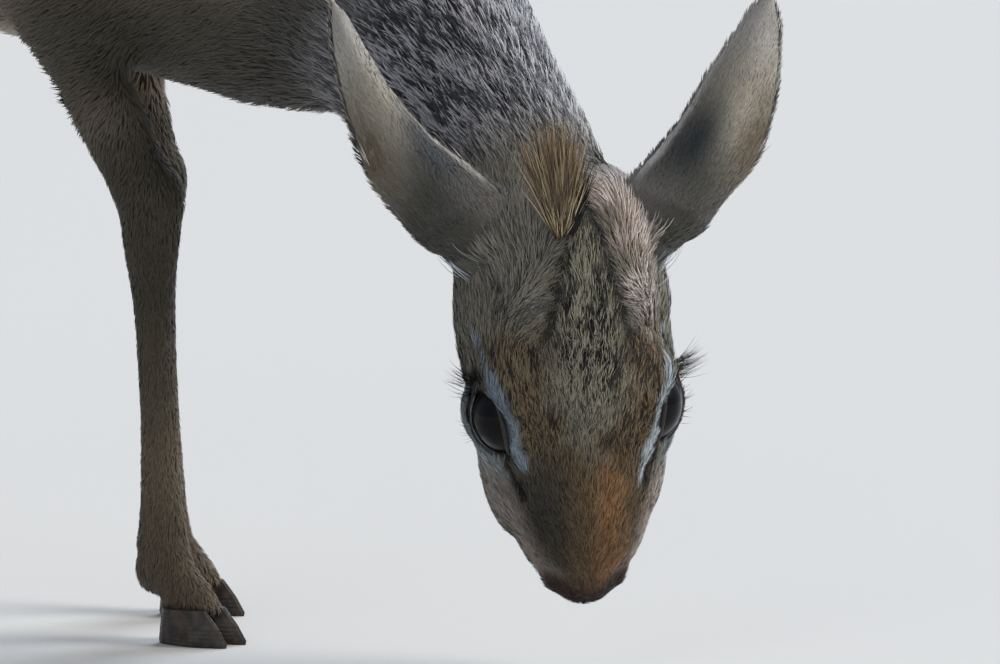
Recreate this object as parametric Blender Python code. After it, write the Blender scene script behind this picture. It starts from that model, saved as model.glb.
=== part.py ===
"""A life-size dik-dik, grazing with its head turned to its right.

The body faces +X and +Z is up. Sizes are given in millimetres and turned into metres by MM.
The animal is modelled whole, as lofts and balls melted into one skin, and then parted with thin cuts.
"""

import math
import random

import bmesh
import bpy
from mathutils import Euler, Matrix, Vector
from mathutils.bvhtree import BVHTree

MM = 0.001
GAP = 0.3 * MM

# Places of the joints, for the right side; the left side mirrors Y and takes a step back or forward
NEAR, FAR = -1, 1
SHOULDER = Vector((22, 36, 230))
ELBOW = Vector((-53, 35, 226))
KNEE = Vector((-6, 27, 135))
FORE_FETLOCK = Vector((-2, 25, 25))
FORE_CORONET = Vector((9, 25, 11))
HIP = Vector((-262, 23, 316))
STIFLE = Vector((-230, 39, 236))
HOCK = Vector((-298, 30, 142))
HIND_FETLOCK = Vector((-280, 27, 27))
HIND_CORONET = Vector((-269, 27, 11))
FAR_FORE_STEP = {"elbow": -27, "knee": -40, "foot": -38}
FAR_HIND_STEP = 26

# The head's own frame: origin between the eyes, x to the nose, y to the animal's left, z out of the forehead
EYES_PLACE = Vector((147, -20, 79))
HEAD_NOD, HEAD_TURN, HEAD_TILT = math.radians(99.6), math.radians(-46), math.radians(4)
HEAD = (
    Matrix.Translation(EYES_PLACE * MM)
    @ Euler((0, HEAD_NOD, HEAD_TURN)).to_matrix().to_4x4()
    @ Matrix.Rotation(HEAD_TILT, 4, "Z")
)
EYE_CENTRE = Vector((-1.5, 19, 0.5))
EYE_RADIUS = 12.2
LID_THICK = 1.7
EYE_AIM = math.radians(53)
EAR_ROOTS = {NEAR: Vector((-58, -29, 11)), FAR: Vector((-57, 25, 12))}
EAR_TIPS = {NEAR: Vector((-127, -65, -6)), FAR: Vector((-119, 63, -6))}
EAR_ROLLS = {NEAR: 0.31, FAR: 0}

SKIN_VOXEL = 1.5 * MM
SKIN_FACES = 35000
HOOF_LENGTH = 25.0

COLOURS = {
    "coat": (0.30, 0.22, 0.15),
    "pale": (0.55, 0.47, 0.37),
    "leg": (0.33, 0.23, 0.15),
    "eye": (0.02, 0.012, 0.008),
    "hoof": (0.05, 0.04, 0.035),
}


def clear_scene():
    for old in list(bpy.data.objects):
        bpy.data.objects.remove(old, do_unlink=True)


def finish_material(name, roughness):
    material = bpy.data.materials.new(name)
    material.use_nodes = True
    shader = material.node_tree.nodes["Principled BSDF"]
    shader.inputs["Base Color"].default_value = (*COLOURS[name], 1)
    shader.inputs["Roughness"].default_value = roughness
    shader.inputs["Metallic"].default_value = 0
    return material


def mesh_object(name, bm):
    bmesh.ops.recalc_face_normals(bm, faces=bm.faces)
    mesh = bpy.data.meshes.new(name)
    bm.to_mesh(mesh)
    bm.free()
    thing = bpy.data.objects.new(name, mesh)
    bpy.context.scene.collection.objects.link(thing)
    return thing


def catmull_rom(rows, steps):
    """Rows of numbers, smoothed by a curve that passes through each of them."""
    out = []
    last = len(rows) - 1
    for i in range(last):
        a, b, c, d = (rows[min(max(k, 0), last)] for k in (i - 1, i, i + 1, i + 2))
        for j in range(steps):
            t = j / steps
            out.append(
                tuple(
                    q + 0.5 * t * (r - p + t * (2 * p - 5 * q + 4 * r - s + t * (3 * (q - r) + s - p)))
                    for p, q, r, s in zip(a, b, c, d)
                )
            )
    out.append(tuple(rows[last]))
    return out


def bridge_rings(bm, rings):
    for low, high in zip(rings, rings[1:]):
        for i in range(len(low)):
            j = (i + 1) % len(low)
            bm.faces.new((low[i], low[j], high[j], high[i]))
    bm.faces.new(rings[0])
    bm.faces.new(rings[-1])


def loft(name, stations, across=Vector((0, 1, 0)), sides=20, steps=4, place=Matrix()):
    """A closed tube through stations (x, y, z, half width, half depth), the width lying along `across`."""
    rows = catmull_rom(stations, steps)
    centres = [Vector(row[:3]) for row in rows]
    bm = bmesh.new()
    rings = []
    for i, row in enumerate(rows):
        along = (centres[min(i + 1, len(rows) - 1)] - centres[max(i - 1, 0)]).normalized()
        deep = along.cross(across).normalized()
        wide = deep.cross(along).normalized()
        ring = []
        for k in range(sides):
            turn = math.tau * k / sides
            point = centres[i] + wide * row[3] * math.cos(turn) + deep * row[4] * math.sin(turn)
            ring.append(bm.verts.new(place @ (point * MM)))
        rings.append(ring)
    bridge_rings(bm, rings)
    return mesh_object(name, bm)


def ball(name, centre, radii, turn=(0, 0, 0), place=Matrix(), segments=24):
    """An ellipsoid; centre and radii in millimetres, turn in degrees."""
    bm = bmesh.new()
    shape = Matrix.LocRotScale(
        Vector(centre) * MM, Euler([math.radians(a) for a in turn]), Vector(radii) * MM
    )
    bmesh.ops.create_uvsphere(
        bm, u_segments=segments, v_segments=segments // 2, radius=1, matrix=place @ shape
    )
    return mesh_object(name, bm)


def evaluated(thing):
    """Applies the object's modifiers to its mesh."""
    graph = bpy.context.evaluated_depsgraph_get()
    mesh = bpy.data.meshes.new_from_object(thing.evaluated_get(graph), depsgraph=graph)
    thing.modifiers.clear()
    thing.data = mesh
    return thing


def mirrored(function):
    """Calls the function for the animal's right and left side."""
    for side in (NEAR, FAR):
        yield from function(side)


# Body forms


def torso_forms():
    """Sections (x, top, bottom, half width) from the breast to the rump."""
    sections = [
        (72, 208, 170, 14),
        (60, 226, 158, 24),
        (44, 250, 154, 32),
        (22, 276, 157, 38),
        (-5, 298, 164, 43),
        (-38, 309, 173, 48),
        (-80, 319, 182, 54),
        (-125, 332, 190, 58),
        (-170, 345, 197, 57),
        (-210, 354, 207, 52),
        (-248, 356, 224, 47),
        (-283, 347, 244, 42),
        (-310, 328, 266, 33),
        (-325, 310, 284, 18),
    ]
    stations = [
        (x, 0, (top + bottom) / 2, half_width, (top - bottom) / 2)
        for x, top, bottom, half_width in sections
    ]
    return [loft("torso_form", stations, sides=32)]


def neck_forms():
    """Stations (x, y, z, half width, half depth) from the shoulders to the back of the skull."""
    stations = [
        (-34, 0, 258, 30, 34),
        (0, 0, 250, 40, 52),
        (34, -1, 227, 38, 51),
        (61, -3, 204, 33, 41),
        (86, -8, 182, 30, 34),
        (107, -14, 162, 28, 30),
        (126, -21, 143, 27.5, 29.5),
        (143, -27, 125, 26.5, 28),
    ]
    return [loft("neck_form", stations, sides=28)]


def fore_leg_places(side):
    step = FAR_FORE_STEP if side == FAR else dict.fromkeys(FAR_FORE_STEP, 0)
    mirror = Vector((1, side, 1))

    def at(point, move):
        return Vector((point.x + move, point.y, point.z)) * mirror

    return {
        "shoulder": at(SHOULDER, step["elbow"] / 3),
        "elbow": at(ELBOW, step["elbow"]),
        "knee": at(KNEE, step["knee"]),
        "fetlock": at(FORE_FETLOCK, step["foot"]),
        "coronet": at(FORE_CORONET, step["foot"]),
    }


def hind_leg_places(side):
    step = Vector((FAR_HIND_STEP if side == FAR else 0, 0, 0))
    mirror = Vector((1, side, 1))
    return {
        "hip": HIP * mirror,
        "stifle": (STIFLE + step * 0.4) * mirror,
        "hock": (HOCK + step) * mirror,
        "fetlock": (HIND_FETLOCK + step) * mirror,
        "coronet": (HIND_CORONET + step) * mirror,
    }


def along_bone(start, end, sizes):
    """Stations at shares of the way from start to end; sizes are (share, half width, half depth)."""
    return [(*start.lerp(end, share), half_width, half_depth) for share, half_width, half_depth in sizes]


def lower_leg(fetlock, coronet):
    """The fetlock joint, the pastern and the end that the hooves take over from."""
    foot = coronet + (coronet - fetlock)
    return along_bone(fetlock, coronet, [(0, 7.6, 8.4), (0.55, 6.8, 7.4), (1, 7.4, 8.2)]) + [
        (*foot, 6.5, 7)
    ]


def fore_leg_forms(side):
    at = fore_leg_places(side)
    upper = along_bone(at["shoulder"], at["elbow"], [(0, 14, 22), (0.5, 16, 27), (1, 13, 22)])
    forearm = along_bone(
        at["elbow"],
        at["knee"],
        [(0, 13.5, 27), (0.2, 13.5, 24), (0.42, 12, 18.5), (0.65, 10, 13.2), (0.86, 9, 10.6), (1, 9.5, 10.8)],
    )
    cannon = along_bone(
        at["knee"], at["fetlock"], [(0.13, 8, 8.8), (0.3, 6.4, 6.3), (0.55, 5.9, 5.6), (0.82, 6.5, 6.6)]
    )
    shin = loft("fore_leg_form", forearm + cannon + lower_leg(at["fetlock"], at["coronet"]))
    blade = Vector((-12, 34, 250)) * Vector((1, side, 1))
    return [
        shin,
        loft("upper_arm_form", upper),
        ball("shoulder_blade_form", blade, (36, 11, 42), (0, 22, 0)),
        ball("knee_form", at["knee"] + Vector((1, 0, 0)), (11, 9.5, 13)),
        ball("heel_form", at["fetlock"] + Vector((-4, 0, -3)), (6, 6.5, 8)),
    ]


def hind_leg_forms(side):
    at = hind_leg_places(side)
    thigh = [
        (*at["hip"], 24, 42),
        (*at["hip"].lerp(at["stifle"], 0.5), 24, 50),
        (*at["stifle"], 21, 43),
        (*at["stifle"].lerp(at["hock"], 0.3), 16.5, 30),
        (*at["stifle"].lerp(at["hock"], 0.62), 12, 18),
        (*at["stifle"].lerp(at["hock"], 0.86), 8.8, 11),
        (*at["hock"], 8.5, 12),
    ]
    cannon = along_bone(
        at["hock"], at["fetlock"], [(0.14, 7.6, 9), (0.35, 6.4, 6.6), (0.6, 6, 6), (0.84, 6.4, 6.6)]
    )
    heel = at["hock"] + Vector((-6, 0, 5))
    return [
        loft("thigh_form", thigh),
        ball("buttock_form", at["hip"] + Vector((-24, -3 * side, -42)), (26, 23, 42), (0, -12, 0)),
        loft("shank_form", [thigh[-1]] + cannon + lower_leg(at["fetlock"], at["coronet"])),
        ball("hock_form", heel, (8, 7, 12), (0, 25, 0)),
        ball("heel_form", at["fetlock"] + Vector((-4, 0, -3)), (6, 6.5, 8)),
    ]


def head_forms():
    """Sections (x, half width, forehead side, jaw side) of the skull in the head's frame."""
    sections = [
        (-74, 14, 8, -14),
        (-66, 23, 18, -24),
        (-55, 28, 24, -31),
        (-42, 29.5, 25.5, -36),
        (-28, 29.5, 25, -37),
        (-14, 29, 22.5, -35),
        (0, 28.5, 19.5, -31.5),
        (12, 27.5, 17.5, -27.5),
        (24, 25, 16.5, -24),
        (35, 21, 15, -21),
        (44, 17, 12.5, -18),
        (51, 12.5, 9, -14),
        (56, 8, 5, -10),
        (59, 3.5, 0, -6),
    ]
    stations = [
        (x, 0, (top + low) / 2, half_width, (top - low) / 2) for x, half_width, top, low in sections
    ]
    forms = [
        loft("skull_form", stations, sides=32, place=HEAD),
        ball("chin_form", (34, 0, -17.5), (15, 10, 6), place=HEAD),
        ball("nose_form", (49, 0, 3), (9, 9, 8), place=HEAD),
        ball("throat_form", (-58, 0, -30), (18, 20, 15), place=HEAD),
    ]
    for side in (NEAR, FAR):
        forms += [
            ball("cheek_form", (-29, 20.5 * side, -12), (28, 13.5, 22), place=HEAD),
            ball("brow_form", (-12, 19.5 * side, 7), (20, 10, 9), place=HEAD),
            ball("muzzle_form", (14, 15 * side, -12), (28, 14, 13), place=HEAD),
            ball("nostril_form", (47, 9 * side, 0), (8, 5.5, 7), place=HEAD),
            ball("lip_form", (32, 10.5 * side, -12), (18, 8, 6.5), place=HEAD),
            ball("ear_base_form", (-56, 21 * side, 3), (11, 11, 12), place=HEAD),
            ball("lid_form", mirror_y(EYE_CENTRE, side), [EYE_RADIUS + LID_THICK] * 3, place=HEAD),
        ]
    return forms


def mirror_y(point, side):
    return Vector((point[0], point[1] * side, point[2]))


def melted(name, forms):
    """One smooth closed skin over all the forms."""
    bm = bmesh.new()
    for form in forms:
        bm.from_mesh(form.data)
        bpy.data.objects.remove(form, do_unlink=True)
    skin = mesh_object(name, bm)
    remesh = skin.modifiers.new("melt", "REMESH")
    remesh.mode = "VOXEL"
    remesh.voxel_size = SKIN_VOXEL
    evaluated(skin)
    trunk = skin.vertex_groups.new(name="trunk")
    for vertex in skin.data.vertices:
        high = (vertex.co.z / MM - 150) / 40
        back = (105 - vertex.co.x / MM) / 30
        trunk.add([vertex.index], min(max(min(high, back), 0), 1), "REPLACE")
    for group, rounds in (("trunk", 110), ("", 5)):
        smooth = skin.modifiers.new("smooth", "SMOOTH")
        smooth.factor = 0.5
        smooth.iterations = rounds
        smooth.vertex_group = group
    return evaluated(skin)


# Thin cuts


def cut_plane(start, end, share):
    """A plane across the line from start to end, as its middle and its normal."""
    return start.lerp(end, share), (end - start).normalized()


def part_lines():
    """Name of the piece beyond each cut, with the cut's middle, normal and reach in millimetres."""
    lines = {
        "neck": (Vector((50, -2, 200)), Vector((0.72, -0.06, -0.69)).normalized(), 70),
        "head": (Vector((130, -23, 137)), Vector((0.66, -0.28, -0.70)).normalized(), 46),
    }
    for side, word in ((NEAR, "right"), (FAR, "left")):
        fore, hind = fore_leg_places(side), hind_leg_places(side)
        lines["forearm_" + word] = (*cut_plane(fore["elbow"], fore["knee"], 0.70), 26)
        lines["fore_cannon_" + word] = (*cut_plane(fore["knee"], fore["fetlock"], 0.10), 20)
        lines["shank_" + word] = (*cut_plane(hind["stifle"], hind["hock"], 0.36), 40)
        lines["hind_cannon_" + word] = (*cut_plane(hind["hock"], hind["fetlock"], 0.12), 20)
        for leg, at in (("fore", fore), ("hind", hind)):
            middle = at["coronet"].copy()
            lines[f"{leg}_waste_{word}"] = (middle, Vector((0, 0, -1)), 16)
    return lines


def thin_cut(bm, middle, normal, reach):
    """Opens a gap in the skin across one part line and closes both sides with flat faces."""
    middle, reach = middle * MM, reach * MM
    for half in (-GAP / 2, GAP / 2):
        near = [f for f in bm.faces if (f.calc_center_median() - middle).length < reach]
        geometry = near + list({e for f in near for e in f.edges}) + list({v for f in near for v in f.verts})
        bmesh.ops.bisect_plane(bm, geom=geometry, plane_co=middle + normal * half, plane_no=normal)
    between = [
        f
        for f in bm.faces
        if abs((f.calc_center_median() - middle).dot(normal)) < GAP * 0.49
        and (f.calc_center_median() - middle).length < reach
    ]
    bmesh.ops.delete(bm, geom=between, context="FACES")
    rims = [e for e in bm.edges if len(e.link_faces) == 1]
    bmesh.ops.holes_fill(bm, edges=rims, sides=0)


def islands(bm):
    """The closed pieces of a mesh, as lists of faces."""
    seen = set()
    found = []
    for face in bm.faces:
        if face in seen:
            continue
        seen.add(face)
        stack, piece = [face], []
        while stack:
            here = stack.pop()
            piece.append(here)
            for edge in here.edges:
                for other in edge.link_faces:
                    if other not in seen:
                        seen.add(other)
                        stack.append(other)
        found.append(piece)
    return found


def beyond_which(faces, lines):
    """The part line that a closed piece lies beyond, told by its flat face on the far side of the cut."""
    for name, (middle, normal, reach) in lines.items():
        start = middle * MM + normal * GAP / 2
        for face in faces:
            if len(face.verts) > 8 and face.normal.dot(normal) < -0.99:
                away = face.calc_center_median() - start
                if away.length < reach * MM and abs(away.dot(normal)) < 0.1 * GAP:
                    return name
    return "torso"


def parted(skin, lines):
    """Cuts the skin at every line and gives the pieces by name; what no line names is the torso."""
    bm = bmesh.new()
    bm.from_mesh(skin.data)
    for middle, normal, reach in lines.values():
        thin_cut(bm, middle, normal, reach)
    bm.normal_update()
    pieces = {}
    for faces in sorted(islands(bm), key=len):
        pieces[beyond_which(faces, lines)] = faces
    made = {}
    for name, faces in pieces.items():
        if "waste" in name:
            continue
        part = bmesh.new()
        copies = {v: part.verts.new(v.co) for v in {v for f in faces for v in f.verts}}
        for f in faces:
            part.faces.new([copies[v] for v in f.verts])
        bmesh.ops.triangulate(part, faces=part.faces)
        made[name] = mesh_object(name, part)
    bm.free()
    bpy.data.objects.remove(skin, do_unlink=True)
    return made


def thinned(thing, triangles):
    decimate = thing.modifiers.new("thin", "DECIMATE")
    decimate.ratio = min(1.0, triangles / len(thing.data.polygons))
    decimate.use_collapse_triangulate = True
    return evaluated(thing)


# Boolean work on single nodes


def largest_only(thing):
    """Keeps the largest closed surface of a mesh."""
    bm = bmesh.new()
    bm.from_mesh(thing.data)
    groups = sorted(islands(bm), key=lambda faces: -sum(f.calc_area() for f in faces))
    drop = [f for group in groups[1:] for f in group]
    bmesh.ops.delete(bm, geom=drop, context="FACES")
    bm.to_mesh(thing.data)
    bm.free()


def combine(thing, others, operation):
    """Joins the others to the thing, or cuts them out of it, in one Boolean on a collection."""
    tools = bpy.data.collections.new("tools")
    for other in others:
        tools.objects.link(other)
    boolean = thing.modifiers.new("combine", "BOOLEAN")
    boolean.operation = operation
    boolean.operand_type = "COLLECTION"
    boolean.collection = tools
    boolean.solver = "EXACT"
    boolean.use_self = operation == "UNION"
    evaluated(thing)
    for other in others:
        bpy.data.objects.remove(other, do_unlink=True)
    bpy.data.collections.remove(tools)
    largest_only(thing)


# Head details


def eye_frame(side):
    """Matrix of one eye in the head's frame: x to the inner corner, z along the gaze."""
    gaze = Vector((0.05, math.sin(EYE_AIM) * side, math.cos(EYE_AIM))).normalized()
    inner = Vector((1, -0.30 * side, 0.05))
    forward = (inner - gaze * inner.dot(gaze)).normalized()
    frame = Matrix((forward, gaze.cross(forward), gaze)).transposed().to_4x4()
    return HEAD @ Matrix.Translation(mirror_y(EYE_CENTRE, side) * MM) @ frame


def lid_opening(side):
    """A round prism along the gaze, drawn out to a point at the inner corner."""
    half_length, half_width, corner, count = 10.6, 9.3, 3.2, 24
    outline = []
    for k in range(count):
        turn = math.tau * k / count
        point = max(math.cos(turn), 0) ** 6
        x = half_length * math.cos(turn) + corner * point
        outline.append((x, half_width * math.sin(turn) * (1 - 0.3 * point)))
    bm = bmesh.new()
    rings = []
    for height, size in ((1, 0.8), (24, 1.15)):
        ring = [
            bm.verts.new(eye_frame(side) @ (Vector((x * size, -y * side * size, height)) * MM))
            for x, y in outline
        ]
        rings.append(ring)
    bridge_rings(bm, rings)
    return mesh_object("lid_opening", bm)


def eye_ball(name, side, radius):
    bm = bmesh.new()
    shape = eye_frame(side) @ Matrix.Scale(radius * MM, 4)
    bmesh.ops.create_uvsphere(bm, u_segments=20, v_segments=12, radius=1, matrix=shape)
    return mesh_object(name, bm)


def mouth_line(tree):
    """A thin tube along the surface of the snout, from one corner of the mouth to the other."""
    half = [(56, 0, -13), (53, 5, -14), (46, 9.5, -16), (38, 13.5, -17), (29, 17, -17.5), (21, 20, -16)]
    path = [Vector((x, -y, z)) for x, y, z in reversed(half[1:])] + [Vector(p) for p in half]
    stations = []
    for k, point in enumerate(path):
        spot = HEAD.inverted() @ tree.find_nearest(HEAD @ (point * MM))[0] / MM
        width = 0.5 if k in (0, len(path) - 1) else 0.8
        stations.append((*spot, width, 1.3))
    return loft("mouth_line", stations, across=Vector((0.2, 0, 1)), sides=8, steps=2, place=HEAD)


def head_hollows(tree):
    """The nostrils, the scent glands before the eyes and the line of the mouth."""
    hollows = [mouth_line(tree)]
    for side in (NEAR, FAR):
        gland = HEAD.inverted() @ tree.find_nearest(HEAD @ (Vector((18, 20 * side, 11)) * MM))[0] / MM
        nostril = HEAD.inverted() @ tree.find_nearest(HEAD @ (Vector((50, 12 * side, 0)) * MM))[0] / MM
        hollows.append(ball("gland_hollow", gland, (4.6, 1.9, 1.6), (0, 0, -18 * side), HEAD, 12))
        hollows.append(ball("nostril_hollow", nostril, (4.4, 2.4, 1.9), (0, -30, -30 * side), HEAD, 12))
    return hollows


def lock(name, root, lean, length, width, bend, place):
    """A flat tapered lock from its sunk root along `lean`, curving over towards `bend`."""
    lean = lean.normalized()
    across = lean.cross(bend).normalized()
    bm = bmesh.new()
    rings = []
    for share, wide, deep in (
        (-0.18, 0.7, 1.2),
        (0.1, 1.0, 1.1),
        (0.35, 1.0, 0.9),
        (0.6, 0.85, 0.7),
        (0.82, 0.5, 0.5),
    ):
        curve = max(share, 0)
        centre = root + lean * length * share + bend * length * 0.5 * curve**2
        thick = across.cross(lean + bend * curve).normalized()
        ring = []
        for side, rise in ((1, 0), (0, 1), (-1, 0), (0, -1)):
            point = centre + across * side * wide * width + thick * rise * deep
            ring.append(bm.verts.new(place @ (point * MM)))
        rings.append(ring)
    bridge_rings(bm, rings)
    top = rings[-1]
    bmesh.ops.delete(bm, geom=[f for f in bm.faces if set(f.verts) == set(top)], context="FACES_ONLY")
    tip = bm.verts.new(place @ ((root + lean * length + bend * length * 0.5) * MM))
    for i in range(4):
        bm.faces.new((top[i], top[(i + 1) % 4], tip))
    bmesh.ops.triangulate(bm, faces=bm.faces)
    return mesh_object(name, bm)


def crest_locks(tree):
    """The upright crest on the poll: a fan of locks in rows that overlap."""
    draw = random.Random(7)
    locks = []
    for row, (x, count, length) in enumerate(((-60, 4, 18), (-63, 5, 25), (-66, 5, 31), (-69, 4, 30))):
        for k in range(count):
            share = k / (count - 1) - 0.5
            start = Vector((x + draw.uniform(-1.5, 1.5), -5 + share * 10, 30))
            spot = HEAD.inverted() @ tree.find_nearest(HEAD @ (start * MM))[0] / MM
            lean = Vector((-0.76, share * 0.30 - 0.05, 0.74 - 0.08 * row))
            bend = Vector((-0.50, share * 0.30 - 0.06 + draw.uniform(-0.15, 0.15), -0.35))
            size = length * draw.uniform(0.75, 1.1)
            locks.append(lock("lock", spot, lean, size, 2.7, bend, HEAD))
    return locks


def detailed_head(head):
    tree = BVHTree.FromObject(head, bpy.context.evaluated_depsgraph_get())
    combine(head, crest_locks(tree), "UNION")
    openings = [lid_opening(side) for side in (NEAR, FAR)]
    sockets = [eye_ball("socket", side, EYE_RADIUS + GAP / MM) for side in (NEAR, FAR)]
    combine(head, openings, "DIFFERENCE")
    combine(head, sockets + head_hollows(tree), "DIFFERENCE")


# Ears


def ear_shell(name, side):
    """A leaf-shaped cup whose back looks out of the forehead side; its hollow is filled at the root.

    Profile rows are (share of the length, half width, depth of the cup, how far the hollow is filled).
    Towards the tip an ear is rolled narrower by its share in EAR_ROLLS.
    """
    root, tip = EAR_ROOTS[side], EAR_TIPS[side]
    axis = tip - root
    length = axis.length
    along = axis.normalized()
    profile = catmull_rom(
        [
            (-0.12, 11.5, 6, 1),
            (0, 13.5, 8, 1),
            (0.1, 13.8, 9.5, 0.75),
            (0.25, 12.8, 12, 0.1),
            (0.45, 12.4, 10.5, 0),
            (0.65, 10.4, 7.5, 0),
            (0.82, 7, 4.5, 0),
            (0.93, 4.2, 2, 0),
            (1, 0.7, 0.3, 0),
        ],
        2,
    )
    columns = 6
    bm = bmesh.new()
    grids = [[], []]
    for share, half_width, cup, fill in profile:
        roll = EAR_ROLLS[side] * min(max((share - 0.25) / 0.4, 0), 1)
        half_width, cup = half_width * (1 - roll), cup * (1 + roll)
        lean = 0.35 - 0.65 * min(max(share / 0.4, 0), 1)
        back = Vector((-0.05, lean * side, 1))
        back = (back - along * back.dot(along)).normalized()
        across = along.cross(back)
        bow = math.sin(math.pi * max(share, 0))
        centre = root + along * length * share + (across * side * 4 - back * 3) * bow
        centre -= back * 9 * max(0.08 - share, 0) / 0.2
        rows = [[], []]
        for k in range(columns + 1):
            t = 2 * k / columns - 1
            dome = cup * (0.45 - t * t)
            floor = dome + (-cup - 2.5 * (1 - t * t) + cup * t * t) * max(fill, 0)
            normal = (back * half_width + across * 2 * cup * t).normalized()
            edge = 0.5 if abs(t) == 1 or share == 1 else 1.0
            for row, height, thick in zip(rows, (dome, floor), (0.75, -0.75)):
                point = centre + across * half_width * t + back * height + normal * thick * edge
                row.append(bm.verts.new(HEAD @ (point * MM)))
        for grid, row in zip(grids, rows):
            grid.append(row)
    outer, inner = grids
    for i in range(len(outer) - 1):
        for k in range(columns):
            for grid in grids:
                a, b, c, d = grid[i][k], grid[i][k + 1], grid[i + 1][k + 1], grid[i + 1][k]
                bm.faces.new((a, b, c))
                bm.faces.new((a, c, d))
    rim = [(i, 0) for i in range(len(outer))]
    rim += [(len(outer) - 1, k) for k in range(1, columns + 1)]
    rim += [(i, columns) for i in range(len(outer) - 2, -1, -1)]
    rim += [(0, k) for k in range(columns - 1, 0, -1)]
    for (i, k), (j, m) in zip(rim, rim[1:] + rim[:1]):
        bm.faces.new((outer[i][k], outer[j][m], inner[j][m], inner[i][k]))
    return mesh_object(name, bm)


def inflated(thing, by):
    """A copy of the object, grown along its normals."""
    bm = bmesh.new()
    bm.from_mesh(thing.data)
    bm.normal_update()
    for vertex, normal in [(v, v.normal.copy()) for v in bm.verts]:
        vertex.co += normal * by
    return mesh_object("grown", bm)


# Tail


def tail(torso):
    """A short flat tail that hangs on the rump, as sections (height, half width, half depth)."""
    tree = BVHTree.FromObject(torso, bpy.context.evaluated_depsgraph_get())
    sections = [
        (336, 8, 4),
        (329, 10, 5.5),
        (319, 10, 6),
        (307, 9, 5.5),
        (295, 8, 4.8),
        (284, 6, 3.6),
        (275, 2.5, 2),
    ]
    stations = []
    for height, half_width, half_depth in sections:
        rump = tree.ray_cast(Vector((-400, 0, height)) * MM, Vector((1, 0, 0)))[0]
        stations.append((rump.x / MM - half_depth * 0.6, 0, height, half_width, half_depth))
    made = loft("tail", stations, sides=12, steps=2)
    combine(made, [inflated(torso, GAP)], "DIFFERENCE")
    return made


# Hooves


def hoof(name, coronet, side):
    """One toe of a cloven hoof: a pointed wedge with a flat sole at the height of the floor."""
    half_width, count = 4.4, 18
    bm = bmesh.new()
    rings = []
    top_height = coronet.z - GAP / 2 / MM
    for height, length, width, shift in (
        (0, 1.0, 1.0, 0),
        (1.2, 1.02, 1.05, 0),
        (top_height * 0.55, 0.86, 1.0, -1.4),
        (top_height, 0.64, 0.86, -3.4),
    ):
        ring = []
        for k in range(count):
            turn = math.tau * k / count
            forward = math.cos(turn)
            pinch = 1 - 0.45 * max(forward, 0) ** 2
            x = coronet.x + 3.5 + shift + forward * HOOF_LENGTH / 2 * length
            y = coronet.y + side * (half_width + 0.5) + math.sin(turn) * half_width * width * pinch
            ring.append(bm.verts.new(Vector((x, y, height)) * MM))
        rings.append(ring)
    bridge_rings(bm, rings)
    return mesh_object(name, bm)


def foot_hooves(leg, word, coronet):
    return [
        hoof(f"hoof_{leg}_{word}_{claw}", coronet, side) for claw, side in (("a", -1), ("b", 1))
    ]


# The whole animal


def centre_on_floor(nodes):
    """Moves the animal so that the middle of its box's floor is the origin."""
    points = [v.co for node in nodes for v in node.data.vertices]
    middle_x = (min(p.x for p in points) + max(p.x for p in points)) / 2
    middle_y = (min(p.y for p in points) + max(p.y for p in points)) / 2
    for node in nodes:
        node.data.transform(Matrix.Translation((-middle_x, -middle_y, 0)))


TRIANGLES = {
    "torso": 2300,
    "neck": 600,
    "head": 3400,
    "forearm": 340,
    "fore_cannon": 520,
    "shank": 440,
    "hind_cannon": 560,
}


def main():
    clear_scene()
    forms = torso_forms() + neck_forms() + head_forms()
    forms += mirrored(fore_leg_forms)
    forms += mirrored(hind_leg_forms)
    skin = thinned(melted("skin", forms), SKIN_FACES)
    pieces = parted(skin, part_lines())
    for name, piece in pieces.items():
        kind = name.removesuffix("_left").removesuffix("_right")
        thinned(piece, TRIANGLES[kind])
    head = pieces["head"]
    detailed_head(head)
    nodes = [*pieces.values(), tail(pieces["torso"])]
    for side, word in ((NEAR, "right"), (FAR, "left")):
        ear = ear_shell("ear_" + word, side)
        combine(ear, [inflated(head, GAP), inflated(pieces["neck"], GAP)], "DIFFERENCE")
        nodes += [ear, eye_ball("eye_" + word, side, EYE_RADIUS)]
        nodes += foot_hooves("fore", word, fore_leg_places(side)["coronet"])
        nodes += foot_hooves("hind", word, hind_leg_places(side)["coronet"])
    centre_on_floor(nodes)
    finishes = {name: finish_material(name, 0.8) for name in COLOURS}
    for node in nodes:
        kind = node.name.split("_")[0]
        choice = {"eye": "eye", "hoof": "hoof", "ear": "pale", "fore": "leg", "hind": "leg", "forearm": "leg"}
        node.data.materials.clear()
        node.data.materials.append(finishes[choice.get(kind, "coat")])
        node.data.shade_smooth()
        node.data.set_sharp_from_angle(angle=math.radians(50))


main()
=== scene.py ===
# %% [markdown]
# # A grazing dik-dik
# This notebook dresses a life-size model of a very small antelope. It grazes with its head low and turned to
# its right, so that the forehead, the crest and both ears face the camera. The solid model gives every place
# and size. What is made here is what a hand would notice: skin, a coat of many small tufts, wet eyes, lashes
# and horn.
#
# The solid model is loaded first and never moved. Its box is kept, so that the dressed model can be measured
# against it at the end.

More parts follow.
